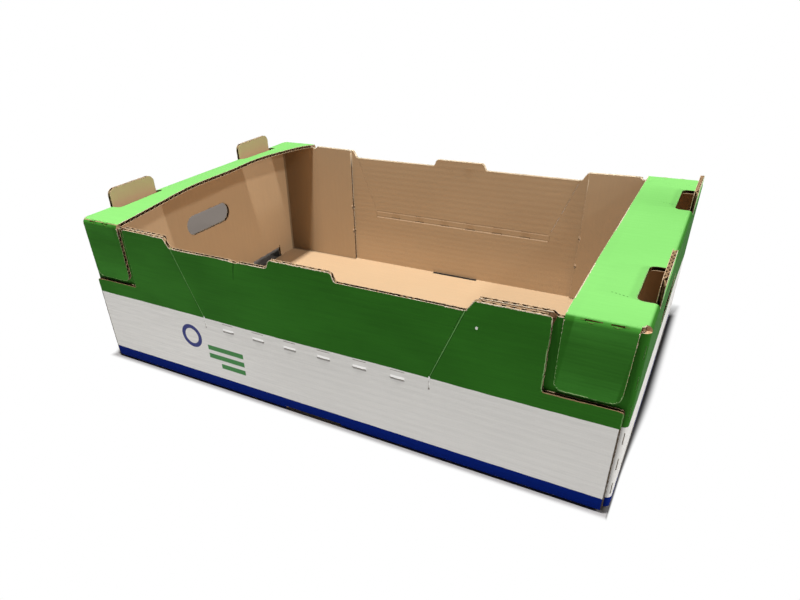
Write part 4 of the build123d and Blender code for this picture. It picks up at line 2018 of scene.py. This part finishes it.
@dataclass(frozen=True)
class Studio:
    """Pale floor, soft light from above, and the camera at the photograph's place.

    Args:
        place: camera position in millimetres.
        azimuth: its bearing from the front, in degrees.
        elevation: its height over the horizon, in degrees.
        roll: its turn about the line of sight, in degrees.
        focal_px: focal length in pixels.
        centre_px: principal point in pixels.
        image: size of the image in pixels.
        floor_reach: half the size of the floor, in metres.
        floor_z: height of the floor, just under the tray.
        footprint: half the tray's length and depth, where the floor is dark, in metres.
        shadow: how far the floor's shadow shows past the left end, the front and the back, in metres.
        wedge: how far it shows past the right end, at the front corner and where it is widest.
        wedge_span: where along Y it goes from the one to the other.
        behind: where the soft shade seen through the left end's openings starts, and its slant.
        spread: half its width at the tray, and how fast that grows away from it.
        fades: how far from the tray it starts and stops fading.
        behind_shade: colour of that painted shade.
        under: painted shade on the floor under the tray.
        near_front: the floor's shadow towards the front.
        near_back: the floor's shadow towards the back.
        near_right: the floor's shadow past the right end.
        pale: the floor away from the tray.
        lamps: the lamps.
        glow: strength of the world's light on the tray.
    """

    place: tuple[float, float, float] = (314.9, -614.5, 393.9)
    azimuth: float = 31.444
    elevation: float = 32.950
    roll: float = -2.872
    focal_px: float = 608.5
    centre_px: tuple[float, float] = (358.95, 370.86)
    image: tuple[float, float] = (800.0, 600.0)
    floor_reach: float = 20.0
    floor_z: float = -0.0006
    footprint: tuple[float, float] = (0.3, 0.198)
    shadow: tuple[float, float, float] = (0.022, 0.008, 0.06)
    wedge: tuple[float, float] = (0.002, 0.012)
    wedge_span: tuple[float, float] = (-0.16, 0.02)
    behind: tuple[float, float] = (0.10, 0.72)
    spread: tuple[float, float] = (0.13, 0.30)
    fades: tuple[float, float] = (0.28, 0.48)
    behind_shade: Colour = (0.16, 0.14, 0.125)
    under: Colour = (0.05, 0.045, 0.04)
    near_front: Colour = (0.18, 0.175, 0.17)
    near_back: Colour = (0.05, 0.05, 0.05)
    near_right: Colour = (0.30, 0.29, 0.29)
    pale: Colour = (0.78, 0.78, 0.78)
    lamps: tuple[Lamp, ...] = (
        Lamp("top_light", (0.0, -0.36, 2.4), (0.0, 0.0, 0.1), 0.16, 85.0),
        Lamp("right_light", (1.75, -0.1, 1.62), (-0.2, 0.0, 0.1), 0.16, 15.0),
        Lamp("side_light", (2.3, -0.1, 1.0), (-0.2, 0.0, 0.1), 0.3, 12.0),
    )
    glow: float = 0.06

    def camera(self) -> None:
        """Adds the camera and makes it the scene's."""
        data = bpy.data.cameras.new("photo_camera")
        wide, tall = self.image
        data.sensor_width = 36.0
        data.lens = self.focal_px / wide * data.sensor_width
        data.shift_x = (wide / 2 - self.centre_px[0]) / wide
        data.shift_y = (self.centre_px[1] - tall / 2) / wide
        data.clip_end = 50.0
        shown = placed("photo_camera", data)
        turn = Matrix.Rotation(math.radians(self.azimuth), 4, "Z")
        tilt = Matrix.Rotation(math.radians(90 - self.elevation), 4, "X")
        roll = Matrix.Rotation(math.radians(self.roll), 4, "Z")
        shown.matrix_world = Matrix.Translation(Vector(self.place) * MM) @ turn @ tilt @ roll
        bpy.context.scene.camera = shown

    def seen(self, kit: NodeKit) -> Term:
        """1 where the camera sees a surface, also in a reflection."""
        rays = kit.node("ShaderNodeLightPath", {}, {}).outputs
        return Term(kit, rays["Is Camera Ray"]).most(Term(kit, rays["Is Glossy Ray"]))

    def floor(self) -> None:
        """Adds the pale floor."""
        bm = bmesh.new()
        bmesh.ops.create_grid(bm, x_segments=1, y_segments=1, size=self.floor_reach)
        for vert in bm.verts:
            vert.co.z = self.floor_z
        data = bpy.data.meshes.new("studio_floor")
        bm.to_mesh(data)
        bm.free()
        shown = placed("studio_floor", data)
        data.materials.append(self.floor_material())

    def floor_material(self) -> bpy.types.Material:
        """Makes the floor's finish: white for the camera, apart from the shadow near the tray, deepened by
        painted shade, and the painted shade behind.

        Returns:
            The material.
        """
        material = bpy.data.materials.new("pale_floor")
        material.use_nodes = True
        material.node_tree.nodes.clear()
        kit = NodeKit(material.node_tree)
        x, y, _ = kit.axes(kit.node("ShaderNodeTexCoord", {}, {}).outputs["Object"])
        wide, deep = self.footprint
        left, front, back, right = -1 * x - wide, -1 * y - deep, y - deep, x - wide
        outside = left.most(front).most(back).most(right)
        off_left = -0.05
        rearward = y.ramp(*self.wedge_span)
        narrow, broad = self.wedge
        reaches = (*self.shadow, narrow + (broad - narrow) * rearward)
        shares = [gap / reach for gap, reach in zip((left, front, back, right), reaches)]
        # Painted shade on the floor behind the left end, seen through its openings.
        start, slant = self.behind
        half, growth = self.spread
        off = abs(y - start - left * slant) / (half + left * growth)
        clear = off.ramp(0.5, 1.0).most(left.ramp(*self.fades)).most(left < off_left)
        # Painted shade: darker floor colours near the tray and under it.
        dark = kit.mix(rearward, self.near_front, self.near_back)
        contact = kit.mix(right > 0.0, self.near_right, dark)
        pale_floor = kit.mix(outside.ramp(0.002, 0.015), contact, self.pale)
        shade = kit.mix(clear, self.behind_shade, pale_floor)
        shade = kit.mix(outside.ramp(-0.006, 0.0), self.under, shade)
        lit = kit.node("ShaderNodeBsdfDiffuse", {}, {"Color": shade})
        white = kit.node("ShaderNodeEmission", {}, {"Color": (1.0, 1.0, 1.0), "Strength": 1.0})
        away = shares[0].most(shares[1]).most(shares[2]).most(shares[3]).ramp(0.1, 1.0) * clear
        inputs = {0: away * self.seen(kit), 1: lit.outputs[0], 2: white.outputs[0]}
        shader = kit.node("ShaderNodeMixShader", {}, inputs)
        kit.node("ShaderNodeOutputMaterial", {}, {0: shader.outputs[0]})
        return material

    def sky(self) -> None:
        """Adds the world's light: soft and even, white where the camera sees it."""
        world = bpy.data.worlds.new("soft_sky")
        bpy.context.scene.world = world
        world.use_nodes = True
        world.node_tree.nodes.clear()
        kit = NodeKit(world.node_tree)
        strength = self.glow + self.seen(kit) * (1 - self.glow)
        back = kit.node("ShaderNodeBackground", {}, {"Color": (1.0, 1.0, 1.0), "Strength": strength})
        kit.node("ShaderNodeOutputWorld", {}, {0: back.outputs[0]})

    def build(self) -> None:
        """Adds everything that the object stands in."""
        self.camera()
        self.floor()
        self.sky()
        for lamp in self.lamps:
            lamp.build()
        bpy.context.scene.view_settings.view_transform = "Standard"


def main() -> None:
    """Builds the tray and the studio, and reports each piece."""
    logging.basicConfig(level=logging.INFO, format="%(name)s: %(message)s")
    known = {*frame["nodes"].values(), *frame["bodies"].values()}
    for item in [item for item in bpy.data.objects if item not in known]:
        bpy.data.objects.remove(item)
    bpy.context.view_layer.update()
    sizes = TraySizes.of_box(*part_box(NODE))
    tray = FoldedTray(sizes, frame["nodes"][NODE])
    board = tray.build()
    finishes = tray.finishes()
    for material in finishes:
        board.data.materials.append(material)
    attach(board, "root")
    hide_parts(NODE)
    LOG.info("%s: %d faces", board.name, len(board.data.polygons))
    for ribbon in paper_edges(sizes, finishes[Finish.PRINTED]):
        piece = ribbon.build(tray)
        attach(piece, "root")
        LOG.info("%s: %d faces", piece.name, len(piece.data.polygons))
    Studio().build()


if __name__ == "__main__":
    main()
